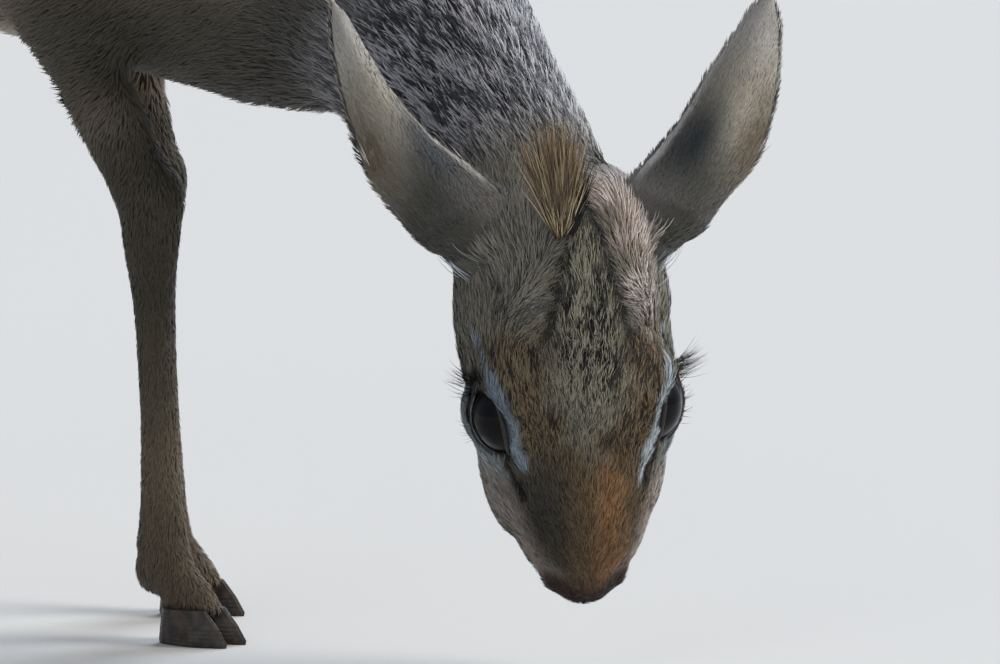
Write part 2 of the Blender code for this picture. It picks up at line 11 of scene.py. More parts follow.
# %% Load the solid model
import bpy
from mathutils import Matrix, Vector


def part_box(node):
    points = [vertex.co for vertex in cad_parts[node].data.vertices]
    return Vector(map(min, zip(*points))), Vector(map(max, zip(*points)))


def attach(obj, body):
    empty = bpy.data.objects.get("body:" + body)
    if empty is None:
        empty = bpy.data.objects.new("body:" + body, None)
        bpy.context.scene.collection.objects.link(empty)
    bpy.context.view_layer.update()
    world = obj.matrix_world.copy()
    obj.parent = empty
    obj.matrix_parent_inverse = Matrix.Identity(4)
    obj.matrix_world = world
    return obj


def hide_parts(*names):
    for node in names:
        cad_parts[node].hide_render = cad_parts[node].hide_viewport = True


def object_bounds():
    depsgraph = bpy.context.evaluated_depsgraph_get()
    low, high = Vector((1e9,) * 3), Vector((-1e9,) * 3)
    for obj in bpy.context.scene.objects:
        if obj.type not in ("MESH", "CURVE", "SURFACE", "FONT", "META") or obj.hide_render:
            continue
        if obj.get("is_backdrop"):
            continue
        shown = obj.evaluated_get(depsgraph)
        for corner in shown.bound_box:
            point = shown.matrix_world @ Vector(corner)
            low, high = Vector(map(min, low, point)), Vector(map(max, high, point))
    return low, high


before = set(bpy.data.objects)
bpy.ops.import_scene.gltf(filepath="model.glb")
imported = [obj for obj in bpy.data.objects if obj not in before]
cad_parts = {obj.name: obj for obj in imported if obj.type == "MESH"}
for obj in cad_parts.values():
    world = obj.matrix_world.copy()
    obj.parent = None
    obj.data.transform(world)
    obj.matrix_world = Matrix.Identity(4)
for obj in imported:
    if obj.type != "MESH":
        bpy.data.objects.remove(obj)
solid_box = [list(corner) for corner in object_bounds()]
print("solid model, highest corner in metres:", [round(value, 3) for value in solid_box[1]])

# %% [markdown]
# ## Units and helpers
# Blender works in metres and an animal's face is best told in millimetres, so sizes below are in millimetres
# and one factor turns them into metres. Colours are written as a painter would read them from a screen, and
# turned into the linear values that a renderer mixes. Arrays from numpy carry the many points of the coat,
# because a loop over each hair would be far too slow.

# %% Imports, units and colours
import math

import bmesh
import bpy
import numpy as np
from mathutils import Euler, Matrix, Vector
from mathutils.bvhtree import BVHTree
from mathutils.kdtree import KDTree

MM = 0.001


def linear(*shade):
    """Screen colour, each part from 0 to 1, as linear light."""
    return np.array([c / 12.92 if c <= 0.04045 else ((c + 0.055) / 1.055) ** 2.4 for c in shade])


def unit(rows):
    """Rows of numbers as directions of length 1."""
    return rows / np.maximum(np.linalg.norm(rows, axis=-1, keepdims=True), 1e-9)


def square_to(rows, normals):
    """Unit rows, once their part along the normals is taken out."""
    return unit(rows - normals * np.sum(rows * normals, axis=-1, keepdims=True))


def ramp(value, start, end):
    """Smoothly 0 before start and 1 after end."""
    share = np.clip((value - start) / (end - start), 0, 1)
    return share * share * (3 - 2 * share)


def fade(value, start, end):
    """Smoothly 1 before start and 0 after end."""
    return 1 - ramp(value, start, end)


def bell(value, middle, width):
    """1 at the middle, falling smoothly to 0 on both sides."""
    return np.exp(-(((value - middle) / width) ** 2))


def add_object(name, data, material=None):
    """An object in the scene that carries a mesh, a lamp or a camera."""
    thing = bpy.data.objects.new(name, data)
    bpy.context.scene.collection.objects.link(thing)
    if material:
        data.materials.append(material)
    return thing


print("white in linear light:", linear(1, 1, 1))

# %% [markdown]
# ## The head's own frame
# The head is tilted in all three directions, so its markings would be hard to place in the room's axes. It
# gets a frame of its own: x runs to the nose, y to the animal's left and z out of the forehead, with the
# origin between the eyes. The two eyeballs of the solid model say where that is.

# %% Frames of head and body
HEAD_NOD, HEAD_TURN, HEAD_TILT = math.radians(99.6), math.radians(-46), math.radians(4)
EYE_CENTRE = Vector((-1.5, 19, 0.5))
EYE_RADIUS = 12.2
EYE_AIM = math.radians(53)
EYE_GAZE = (0.05, math.sin(EYE_AIM), math.cos(EYE_AIM))
EYE_INNER = (1, -0.30, 0.05)
EYES_IN_BODY = Vector((147, -20, 79))
SIDES = {"right": -1, "left": 1}


def centre_of(node):
    low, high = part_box(node)
    return (Vector(low) + Vector(high)) / 2


head_turn = Euler((0, HEAD_NOD, HEAD_TURN)).to_matrix() @ Matrix.Rotation(HEAD_TILT, 3, "Z")
eyes_middle = (centre_of("eye_left") + centre_of("eye_right")) / 2
HEAD = head_turn.to_4x4()
HEAD.translation = eyes_middle - head_turn @ Vector((EYE_CENTRE.x, 0, EYE_CENTRE.z)) * MM
BODY_SHIFT = np.array(HEAD.translation - EYES_IN_BODY * MM)
HEAD_AXES = np.array(head_turn)
HEAD_ORIGIN = np.array(HEAD.translation)


def to_head(points):
    """Room points in metres as head places in millimetres."""
    return (points - HEAD_ORIGIN) @ HEAD_AXES / MM


def to_body(points):
    """Room points in metres as body places in millimetres; the near fore hoof stands at x 0."""
    return (points - BODY_SHIFT) / MM


def from_head(x, y, z):
    return HEAD @ (Vector((x, y, z)) * MM)


print("between the eyes, in metres:", [round(value, 4) for value in eyes_middle])

# %% [markdown]
# ## Camera
# The view is that of a long lens held low: almost level, from the front right, with only the head, the neck,
# one foreleg and part of the breast in the frame. A long lens far away keeps the ears and the nose in true
# proportion. The frame is 1000 by 664, so the lens is worked out from its width.

# %% Camera
FRAME_WIDTH, FRAME_HEIGHT = 1000, 664
FOCAL_PIXELS = 8160
SENSOR_WIDTH = 36
VIEW_AZIMUTH, VIEW_PITCH = math.radians(35), math.radians(6)
CAMERA_FROM_EYES = Vector((1350.6, -1968.4, 273.6)) * MM

camera_data = bpy.data.cameras.new("camera")
camera_data.sensor_fit = "HORIZONTAL"
camera_data.sensor_width = SENSOR_WIDTH
camera_data.lens = SENSOR_WIDTH * FOCAL_PIXELS / FRAME_WIDTH
camera_data.clip_start, camera_data.clip_end = 0.1, 60
camera = add_object("camera", camera_data)
bpy.context.scene.camera = camera
look = Vector(
    (
        -math.sin(VIEW_AZIMUTH) * math.cos(VIEW_PITCH),
        math.cos(VIEW_AZIMUTH) * math.cos(VIEW_PITCH),
        -math.sin(VIEW_PITCH),
    )
)
camera.location = eyes_middle + CAMERA_FROM_EYES
camera.rotation_euler = look.to_track_quat("-Z", "Y").to_euler()
print("lens in millimetres:", round(camera_data.lens, 1), "frame", FRAME_WIDTH, "x", FRAME_HEIGHT)

# %% [markdown]
# ## Floor and light
# A plain pale floor and soft light let the coat speak. The first of two sun lamps stands high on the
# camera's right and leaves the other cheek in soft shade. It is as wide as a piece of sky, so that its
# shadows are soft and the floor is lit evenly as far as the camera sees. The other is cooler and stands
# behind the animal, to give the neck and ears their bright rim. A large panel opens the shade in front.

# %% Floor, world and lights
FLOOR_SHADE, FLOOR_RADIUS = (0.80, 0.79, 0.77), 14
SKY_COLOUR, SKY_STRENGTH = (0.80, 0.87, 1.0, 1), 0.42
SUN_POWER, SUN_ANGLE = 2.3, 35


def flat_material(name, shade, roughness):
    material = bpy.data.materials.new(name)
    material.use_nodes = True
    shader = material.node_tree.nodes["Principled BSDF"]
    shader.inputs["Base Color"].default_value = (*linear(*shade), 1)
    shader.inputs["Roughness"].default_value = roughness
    return material


floor_mesh = bpy.data.meshes.new("floor")
floor_bm = bmesh.new()
bmesh.ops.create_circle(floor_bm, cap_ends=True, segments=64, radius=FLOOR_RADIUS)
floor_bm.to_mesh(floor_mesh)
floor_bm.free()
floor = add_object("floor", floor_mesh, flat_material("pale_floor", FLOOR_SHADE, 0.9))
floor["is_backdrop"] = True

world = bpy.data.worlds.new("studio")
bpy.context.scene.world = world
world.use_nodes = True
world.node_tree.nodes["Background"].inputs["Color"].default_value = SKY_COLOUR
world.node_tree.nodes["Background"].inputs["Strength"].default_value = SKY_STRENGTH


def lamp(name, kind, offset, power, colour, size):
    """A lamp at an offset from the eyes, facing them. A sun's size is an angle, a panel's is in metres."""
    data = bpy.data.lights.new(name, kind)
    data.energy, data.color = power, colour
    if kind == "SUN":
        data.angle = math.radians(size)
    else:
        data.size = size
    thing = add_object(name, data)
    thing.location = eyes_middle + Vector(offset)
    thing.rotation_euler = (-Vector(offset)).to_track_quat("-Z", "Y").to_euler()


lamp("key_sky", "SUN", (1.5, 0.9, 1.4), SUN_POWER, (1.0, 0.98, 0.95), SUN_ANGLE)
lamp("rim_sky", "SUN", (-0.3, 1.9, 1.3), SUN_POWER, (0.80, 0.88, 1.0), SUN_ANGLE)
lamp("fill_panel", "AREA", (0.2, -2.1, 1.1), 5, (0.92, 0.96, 1.0), 1.2)
bpy.context.scene.view_settings.view_transform = "Standard"

# %% [markdown]
# ## Skin
# A museum model's skin is one sheet, while the solid model is parted into torso, neck, head and legs. To get
# one surface again, copies of those pieces are grown by a hair's breadth so that they touch, and then melted
# with a voxel remesh, which rebuilds the outside of whatever it is given. A Boolean union would keep the
# grooves at each joint; the remesh closes them.
#
# The crest of the solid model is drawn in first, since hair takes its place. The skin then sinks by the
# depth of the coat, which is deep on the flank and next to nothing on the lids.

# %% Gather and melt the flesh
NOT_FLESH = ("ear_", "eye_", "hoof_")
SKIN_VOXEL = 1.1
SKIN_TRIANGLES = 185000
SEAM_GROWTH = 0.35
# The crest of the solid head lies inside a cone round this axis, past this radius
POLL_CENTRE, POLL_RADIUS = np.array((-48, -2, -5)), 29.8
CREST_AXIS = unit(np.array((-0.52, -0.15, 0.84)))
CREST_REACH = math.cos(math.radians(44))
FACE_STARTS, FACE_TOP = (-62, -50), 200
FACE_THINNING = 0.06

flesh_names = [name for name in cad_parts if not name.startswith(NOT_FLESH)]


def read_rows(items, key, kind):
    """Rows of three numbers from each item of one kind in a mesh."""
    rows = np.empty(len(items) * 3, kind)
    items.foreach_get(key, rows)
    return rows.reshape(-1, 3)


def mesh_arrays(mesh):
    """Points, normals and triangles of a mesh."""
    mesh.calc_loop_triangles()
    points = read_rows(mesh.vertices, "co", np.float32).astype(float)
    normals = read_rows(mesh.vertex_normals, "vector", np.float32).astype(float)
    return points, normals, read_rows(mesh.loop_triangles, "vertices", np.int32)


def array_mesh(name, points, faces):
    """A mesh from an array of points and an array of faces that all have as many corners."""
    mesh = bpy.data.meshes.new(name)
    count, corners = faces.shape
    mesh.vertices.add(len(points))
    mesh.vertices.foreach_set("co", np.asarray(points, np.float32).ravel())
    mesh.loops.add(count * corners)
    mesh.loops.foreach_set("vertex_index", np.asarray(faces, np.int32).ravel())
    mesh.polygons.add(count)
    mesh.polygons.foreach_set("loop_start", np.arange(0, count * corners, corners, dtype=np.int32))
    mesh.update(calc_edges=True)
    return mesh


def without_crest(points):
    """Draws the crest of the solid head back onto the round of the poll."""
    away = to_head(points) - POLL_CENTRE
    reach = np.linalg.norm(away, axis=1)
    inside = (away @ CREST_AXIS > CREST_REACH * reach) & (reach > POLL_RADIUS)
    out = points.copy()
    short = away[inside] / reach[inside, None] * POLL_RADIUS + POLL_CENTRE
    out[inside] = short * MM @ HEAD_AXES.T + HEAD_ORIGIN
    return out


all_points, all_faces, all_labels, start = [], [], [], 0
for number, name in enumerate(flesh_names):
    points, normals, triangles = mesh_arrays(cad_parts[name].data)
    if name == "head":
        points = without_crest(points)
    else:
        points = points + normals * SEAM_GROWTH * MM
    all_points.append(points)
    all_faces.append(triangles + start)
    all_labels.append(np.full(len(triangles), number))
    start += len(points)
flesh_points, flesh_faces = np.concatenate(all_points), np.concatenate(all_faces)
face_labels = np.concatenate(all_labels)
skin = add_object("skin", array_mesh("skin", flesh_points, flesh_faces))


def apply_modifiers(thing):
    graph = bpy.context.evaluated_depsgraph_get()
    mesh = bpy.data.meshes.new_from_object(thing.evaluated_get(graph), depsgraph=graph)
    thing.modifiers.clear()
    thing.data = mesh


melt = skin.modifiers.new("melt", "REMESH")
melt.mode, melt.voxel_size = "VOXEL", SKIN_VOXEL * MM
apply_modifiers(skin)
skin_points = mesh_arrays(skin.data)[0]
in_head = to_head(skin_points)
in_face = ramp(in_head[:, 0], *FACE_STARTS) * (skin_points[:, 2] < FACE_TOP * MM) >= 0.5
rough_group = skin.vertex_groups.new(name="rough")
for weight, chosen in ((1.0, ~in_face), (FACE_THINNING, in_face)):
    rough_group.add(np.flatnonzero(chosen).tolist(), weight, "REPLACE")
thin = skin.modifiers.new("thin", "DECIMATE")
thin.ratio = SKIN_TRIANGLES / (2 * len(skin.data.polygons))
thin.vertex_group = "rough"
thin.use_collapse_triangulate = True
apply_modifiers(skin)
print("skin triangles:", len(skin.data.polygons))

# %% [markdown]
# ## Regions of the skin
# Fur differs from place to place: long on the neck, close on the legs, like velvet on the nose. Each point
# of the skin is given a share of every region by asking which piece of the solid model lies nearest, and by
# letting those shares spread a little over the surface. The spread keeps any change soft, as it is in life.

# %% Shares of the regions
REGIONS = ("torso", "neck", "head", "tail", "forearm", "fore_cannon", "shank", "hind_cannon")
SPREAD_ROUNDS = 30


def kind_of(name):
    return name.removesuffix("_left").removesuffix("_right")


points, normals, triangles = mesh_arrays(skin.data)
edges = np.unique(
    np.sort(np.concatenate((triangles[:, :2], triangles[:, 1:], triangles[:, ::2])), axis=1), axis=0
)
neighbours = np.maximum(np.bincount(edges.ravel(), minlength=len(points)), 1)


def spread(values, rounds, share=0.5):
    """Blurs a value, or rows of values, over the skin."""
    values = values.astype(float)
    flat = values.reshape(len(values), -1)
    for _ in range(rounds):
        for column in range(flat.shape[1]):
            one = flat[:, column]
            total = np.bincount(edges[:, 0], one[edges[:, 1]], len(one))
            total += np.bincount(edges[:, 1], one[edges[:, 0]], len(one))
            flat[:, column] = one + (total / neighbours - one) * share
    return flat.reshape(values.shape)


nearest_flesh = BVHTree.FromPolygons(flesh_points.tolist(), flesh_faces.tolist())
found = np.array([nearest_flesh.find_nearest(p)[2] for p in points.tolist()])
region_of_flesh = np.array([REGIONS.index(kind_of(name)) for name in flesh_names])
shares = np.eye(len(REGIONS))[region_of_flesh[face_labels[found]]]
shares = spread(shares, SPREAD_ROUNDS)


def share_of(*names):
    """How much of each point of the skin belongs to these regions."""
    return sum(shares[:, REGIONS.index(name)] for name in names)


print("points of skin:", len(points), "regions:", dict(zip(REGIONS, shares.sum(0).astype(int).tolist())))

# %% [markdown]
# ## Depth of the coat
# The solid model reaches out to the tips of the coat, so the skin has to lie lower by the coat's depth. The
# depth is set for each region and eased out around the eyes and on the nose, where the solid is almost skin.
# The far temple sinks a little more and the near brow a little less, to follow the living outline.

# %% Sink the skin under the coat
COAT_DEPTH = {
    "torso": 4.2,
    "neck": 4.4,
    "head": 1.5,
    "tail": 2.6,
    "forearm": 1.4,
    "fore_cannon": 0.8,
    "shank": 1.5,
    "hind_cannon": 0.8,
}
EYE_MARGIN, EYE_EASE = 1.5, 9
SMOOTH_ROUNDS = 4
TEMPLE_SINKS, BROW_RISES, LIDS_SINK = 2.7, 2.0, 1.6
LID_LENGTH, LID_TOP, LID_BOTTOM, LID_SLANT = 13.2, 6.4, 8.6, 0.22

in_head = to_head(points)
head_share = share_of("head")


def to_left(places):
    """Places of the head's frame, with those of the right side mirrored to the left."""
    mirrored = places.copy()
    mirrored[:, 1] = np.abs(mirrored[:, 1])
    return mirrored


def from_eye(places):
    """Distance in millimetres from the nearer eyeball's surface, for places in the head's frame."""
    return np.linalg.norm(to_left(places) - np.array(EYE_CENTRE), axis=1) - EYE_RADIUS


gaze_way = unit(np.array(EYE_GAZE))
inner_way = square_to(np.array(EYE_INNER), gaze_way)
upper_way = -np.cross(gaze_way, inner_way)


def across_lids(places):
    """Under 1 between the lids and over 1 outside them, with the distance towards the upper lid."""
    away = to_left(places) - np.array(EYE_CENTRE)
    along = away @ inner_way
    slant = away @ upper_way - LID_SLANT * np.minimum(along, 0)
    reach = np.where(slant > 0, LID_TOP, LID_BOTTOM)
    value = np.abs(along / LID_LENGTH) ** 1.6 + np.abs(slant / reach) ** 1.8
    return np.where(away @ gaze_way > 1, value, 9), slant


open_skin = ramp(from_eye(in_head), EYE_MARGIN, EYE_EASE)
between_lids = fade(across_lids(in_head)[0], 0.85, 1.10) * (head_share > 0.5)
x, y, z = in_head.T
snout = ramp(x, 18, 46) * head_share
depth = shares @ np.array([COAT_DEPTH[name] for name in REGIONS])
depth *= 1 - 0.5 * snout
depth *= 1 - (1 - open_skin) * head_share
far_temple = ramp(y, 8, 20) * ramp(x, -62, -50) * fade(x, -24, -10) * ramp(z, -28, -16) * fade(z, 10, 18)
near_brow = bell(x, -4, 14) * bell(z, -7, 6) * ramp(-y, 22, 27)
depth += (TEMPLE_SINKS * far_temple - BROW_RISES * near_brow) * head_share + LIDS_SINK * between_lids
coat_normals = unit(spread(normals, 8))
smooth_points = spread(points, SMOOTH_ROUNDS)
ease = np.where(head_share > 0.5, open_skin * (1 - 0.6 * snout), 1)[:, None]
points = points + (smooth_points - points) * ease
points = points - coat_normals * depth[:, None] * MM
skin.data.vertices.foreach_set("co", points.astype(np.float32).ravel())
skin.data.update()
skin.data.shade_smooth()
print("coat depth from", round(depth.min(), 2), "to", round(depth.max(), 2), "millimetres")

# %% [markdown]
# ## Lie of the coat
# Hair leans away from the nose, along the neck to the shoulder, back and down over the ribs, and straight
# down the legs. On the forehead two streams meet: the middle runs up to the crest, and the hair beside it
# sweeps in from the temples. Each region gets one simple direction, and the skin's own surface bends it.

# %% Directions of the hair
LIE = {
    "torso": (-0.88, 0, -0.42),
    "neck": (-0.74, 0.10, 0.62),
    "tail": (-0.15, 0, -1),
    "forearm": (-0.10, 0, -1),
    "fore_cannon": (0, 0, -1),
    "shank": (-0.55, 0, -0.83),
    "hind_cannon": (0.05, 0, -1),
}
WEDGE_TIP, WEDGE_SPREAD, WEDGE_HALF_WIDTH, WEDGE_MIDDLE = -68, 1.9, 12.0, 0.8
EAR_BASE = np.array((-57.5, 27, 11))


def beside_wedge(places):
    """Distance in millimetres outside the speckled wedge of the forehead, less than 0 inside it."""
    half_width = np.sqrt(np.maximum(places[:, 0] - WEDGE_TIP, 0)) * WEDGE_SPREAD
    half_width = np.minimum(half_width, WEDGE_HALF_WIDTH)
    half_width = half_width * (1 - 0.85 * ramp(places[:, 0], -10, 20))
    return np.abs(places[:, 1] - WEDGE_MIDDLE) - half_width


def near_ear(places):
    """1 at the foot of an ear and 0 from 22 mm away."""
    return fade(np.linalg.norm(to_left(places) - EAR_BASE, axis=1), 13, 22)


def head_lie(places):
    """Direction of the hair in the head's frame."""
    x, y, z = places.T
    side = np.sign(y)
    swirl = ramp(beside_wedge(places), -1, 4) * fade(x, -36, -14) * ramp(z, 2, 14)
    under = fade(z, -24, -4)
    lie = np.stack((-1 + 0.45 * swirl - 0.1 * under, -0.85 * side * swirl, 0.15 * swirl - 0.35 * under), 1)
    lie[:, 1] += 0.25 * side * ramp(x, 8, 30) * (1 - swirl)
    up_ear = np.stack((0 * side - 0.87, 0.45 * side, 0 * side - 0.2), 1)
    return unit(lie + (up_ear - lie) * near_ear(places)[:, None])


lie = sum(share_of(name)[:, None] * unit(np.array(direction, float)) for name, direction in LIE.items())
lie = square_to(lie + head_share[:, None] * (head_lie(in_head) @ HEAD_AXES.T), coat_normals)
lie = square_to(spread(lie, 3), coat_normals)
print("mean lie of the coat:", lie.mean(0).round(2))

# %% [markdown]
# ## Markings
# The animal is grizzled: each hair is banded, pale and dark, which reads as salt and pepper from a step
# away. Over that lie plainer fields: a speckled wedge on the forehead, rusty brown beside it and down the
# nose, a bluish white streak beside each eye, a black line from the eye to the scent gland, and a pale throat
# and belly.
#
# The markings are one function of place that returns a pale tone, a dark tone and how grizzled the hair is.
# Each field is a mask, made of soft steps along the axes in millimetres, and is painted over the ones before
# it. Skin and coat both call the function, so they can never disagree.

# %% Tones by place
# Middle lines of the pale streaks in the head's frame, which on_skin brings down to the skin
STREAKS = {
    "right": (
        (-24, -31.5, 3), (-17.5, -31, 5), (-13.6, -27.2, 11), (-8.6, -24.4, 13.5),
        (-0.5, -21.8, 13.5), (7.5, -20.6, 12.3), (15.5, -18, 11.5),
    ),
    "left": (
        (-22, 32, 4), (-16, 29.4, 9.5), (-11, 26, 13), (-4, 23.7, 14),
        (5, 21.5, 13), (12.6, 18.8, 11.6), (22, 17, 11),
    ),
}
STREAK_WIDTHS = (0.8, 1.0, 1.2, 1.5, 1.6, 1.6, 1.0)
# The right streak's tones are painted darker than the left's: painted shade on the side turned away from the
# key light
STREAK_TONES_SHADED_RIGHT = {"right": (0.55, 0.60, 0.645), "left": (0.72, 0.76, 0.78)}
TEAR_LINES = {
    "right": ((11, -22, 9), (17, -21.5, 8), (24, -18.5, 9)),
    "left": ((9, 22, 9.5), (16.8, 20, 8.6), (24, 17.8, 10)),
}
TEAR_WIDTHS = (1.0, 1.3, 1.6)
skin_tree = BVHTree.FromPolygons(points.tolist(), triangles.tolist())


def on_skin(places):
    """Nearest points of the skin to places of the head's frame, with normals and the number of a point."""
    hits = [skin_tree.find_nearest(from_head(*place)) for place in places]
    spots, normals = (np.array([hit[k][:] for hit in hits]) for k in (0, 1))
    return spots, normals, [triangles[hit[2]][0] for hit in hits]


STREAKS = {word: to_head(on_skin(line)[0]) for word, line in STREAKS.items()}


def from_line(places, line, widths):
    """Distance from a line through the points, less the line's own half width there."""
    best = np.full(len(places), 1e9)
    nodes = np.array(line, float)
    for i in range(len(nodes) - 1):
        a, b = nodes[i], nodes[i + 1]
        t = np.clip((places - a) @ (b - a) / ((b - a) @ (b - a)), 0, 1)
        gap = np.linalg.norm(places - (a + t[:, None] * (b - a)), axis=1)
        best = np.minimum(best, gap - (widths[i] + t * (widths[i + 1] - widths[i])))
    return best


def lay(base, shade, mask):
    """Paints a shade over the base colours where the mask is 1."""
    return base + (linear(*shade) - base) * np.clip(mask, 0, 1)[:, None]


WAVES, WAVE_SUM = 7, 3.2


def speckle(places, size, seed):
    """Smooth noise, mostly between -1 and 1, from a few crossed waves."""
    draw = np.random.default_rng(seed)
    total = 0
    for _ in range(WAVES):
        direction = unit(draw.normal(size=3)) * math.tau / size * draw.uniform(0.6, 1.5)
        total = total + np.sin(places @ direction + draw.uniform(0, math.tau))
    return total / WAVE_SUM


class Tones:
    """Pale tone, dark tone and grizzle of a row of points, to be painted over in layers."""

    def __init__(self, count, pale, dark, grizzle):
        self.pale, self.dark = (np.tile(linear(*shade), (count, 1)) for shade in (pale, dark))
        self.grizzle = np.full(count, grizzle)

    def paint(self, mask, pale, dark=None, cover=1.0, dark_cover=None, grizzle=None):
        """Covers so much of both tones where the mask is 1, and draws the grizzle to its new value."""
        self.pale = lay(self.pale, pale, mask * cover)
        if dark:
            self.dark = lay(self.dark, dark, mask * (dark_cover or cover))
        if grizzle is not None:
            self.grizzle = self.grizzle + (grizzle - self.grizzle) * mask


def paint_body(coat, body, of):
    """Torso, neck, legs and tail, by places of the body and the shares of its regions."""
    x, y, z = body.T
    torso, neck = of["torso"], of["neck"]
    flank = torso * fade(z, 190, 270)
    coat.paint(flank, (0.54, 0.46, 0.37), (0.30, 0.24, 0.19), 0.8, 0.7)
    belly = torso * fade(np.abs(y), 8, 26) * fade(z, 185, 225) * fade(x, -60, 0)
    coat.paint(belly, (0.86, 0.81, 0.74), (0.72, 0.66, 0.58))
    withers = torso * ramp(x, -50, 50) * ramp(z, 190, 230)
    coat.pale = lay(coat.pale, (0.67, 0.665, 0.68), neck * 0.9 + withers * 0.7)
    coat.dark = lay(coat.dark, (0.10, 0.10, 0.105), neck + withers * 0.7)
    coat.grizzle = coat.grizzle - 0.45 * flank - 0.2 * torso * (1 - withers)
    along_neck = 0.72 * (x - 50) - 0.69 * (z - 200)
    # The breast is painted a plain dark grey-brown: partly its own colour, partly painted shade under the
    # body
    breast = (torso + neck * fade(along_neck, 12, 42)) * ramp(x, -80, -30) * fade(z, 190, 232)
    coat.paint(breast, (0.28, 0.265, 0.225), (0.155, 0.15, 0.13), 0.95)
    cannons = of["fore_cannon"] + of["hind_cannon"]
    legs = of["forearm"] + of["shank"] + cannons
    coat.paint(legs, (0.30, 0.275, 0.225), (0.17, 0.155, 0.13))
    coat.paint(legs * fade(z, 30, 110), (0.46, 0.41, 0.335), (0.24, 0.215, 0.175))
    coat.paint(cannons * fade(z, 20, 60), (0.37, 0.31, 0.25), cover=0.6)
    coat.paint(of["tail"] * ramp(-x, 326, 334), (0.70, 0.62, 0.52), cover=0.5)
    coat.grizzle = coat.grizzle * (1 - 0.5 * breast) * (1 - 0.6 * legs)


def paint_face(coat, points, on_head):
    """Nose, forehead, temples, cheeks and jaw of the head, from the broad fields to the narrow ones."""
    places = to_head(points)
    x, y, z = places.T
    coat.paint(on_head, (0.52, 0.49, 0.43), (0.22, 0.205, 0.18), grizzle=0.5)
    outside = beside_wedge(places) + 2.5 * speckle(points, 0.008, 21)
    front = ramp(z, 0, 10)
    warm_side = on_head * ramp(outside, -5, 4) * ramp(x, -38, -20) * fade(x, 18, 34) * ramp(z, 2, 12)
    coat.paint(warm_side, (0.50, 0.445, 0.345), (0.12, 0.11, 0.095), 0.9, grizzle=0.95)
    # Rusty fur is the head's own colour; laying it fainter on the right side than on the left is painted
    # shade
    rust = np.clip(0.5 + 0.5 * speckle(points, 0.006, 24), 0, 1) * (0.5 + 0.35 * ramp(y, -6, 6))
    coat.paint(warm_side * rust, (0.56, 0.44, 0.31))
    ridge = on_head * ramp(x, 0, 24) * ramp(z, 2, 9)
    coat.paint(ridge, (0.40, 0.345, 0.265), (0.18, 0.16, 0.125), grizzle=0.7)
    # The ridge's right side is painted darker: mostly painted shade on the side away from the key light,
    # partly the snout's own darker brown
    coat.paint(ridge * fade(y, -11, -2), (0.31, 0.29, 0.245), (0.15, 0.145, 0.125))
    coat.paint(ridge * bell(y, 6, 6) * ramp(x, 4, 20), (0.58, 0.43, 0.28), (0.31, 0.23, 0.155), 0.9)
    temple = on_head * ramp(outside, 2, 8) * fade(x, -38, -18) * front
    coat.paint(temple, (0.56, 0.545, 0.50), (0.21, 0.205, 0.19), 0.9, grizzle=0.75)
    # The left temple, on the side towards the key light, is painted much paler: a painted highlight over the
    # temple's own pale grey. The amber band beside the wedge is laid on that side only
    lit_temple = temple * ramp(y, 0, 12)
    coat.paint(lit_temple, (0.86, 0.81, 0.775), (0.42, 0.38, 0.35))
    coat.paint(lit_temple * bell(outside, 4.5, 3) * fade(x, -52, -36), (0.62, 0.48, 0.35), cover=0.9)
    wedge = on_head * fade(outside, -6, 4) * front * fade(x, -20, 24)
    coat.paint(wedge, (0.61, 0.585, 0.505), (0.075, 0.072, 0.07), 0.95, 1.0, 1.0)
    edge = beside_wedge(places) + 0.8 * speckle(points, 0.006, 22)
    edge_line = on_head * bell(edge, -0.2, 3.0) * fade(x, -32, -12) * ramp(z, 4, 12)
    coat.paint(edge_line, (0.085, 0.08, 0.08), (0.05, 0.048, 0.05))
    coat.paint(on_head * fade(z, -6, 7) * fade(x, 44, 54), (0.49, 0.475, 0.43), (0.25, 0.24, 0.215))
    jaw = on_head * fade(z, -28, -16)
    coat.paint(jaw, (0.84, 0.80, 0.74), (0.66, 0.61, 0.55))
    coat.grizzle = coat.grizzle * (1 - 0.7 * jaw)
    muzzle_side = on_head * ramp(x, 14, 30) * fade(z, 3, 10) * ramp(z, -14, -6)
    coat.paint(muzzle_side, (0.70, 0.65, 0.62), (0.42, 0.37, 0.34), 0.8)


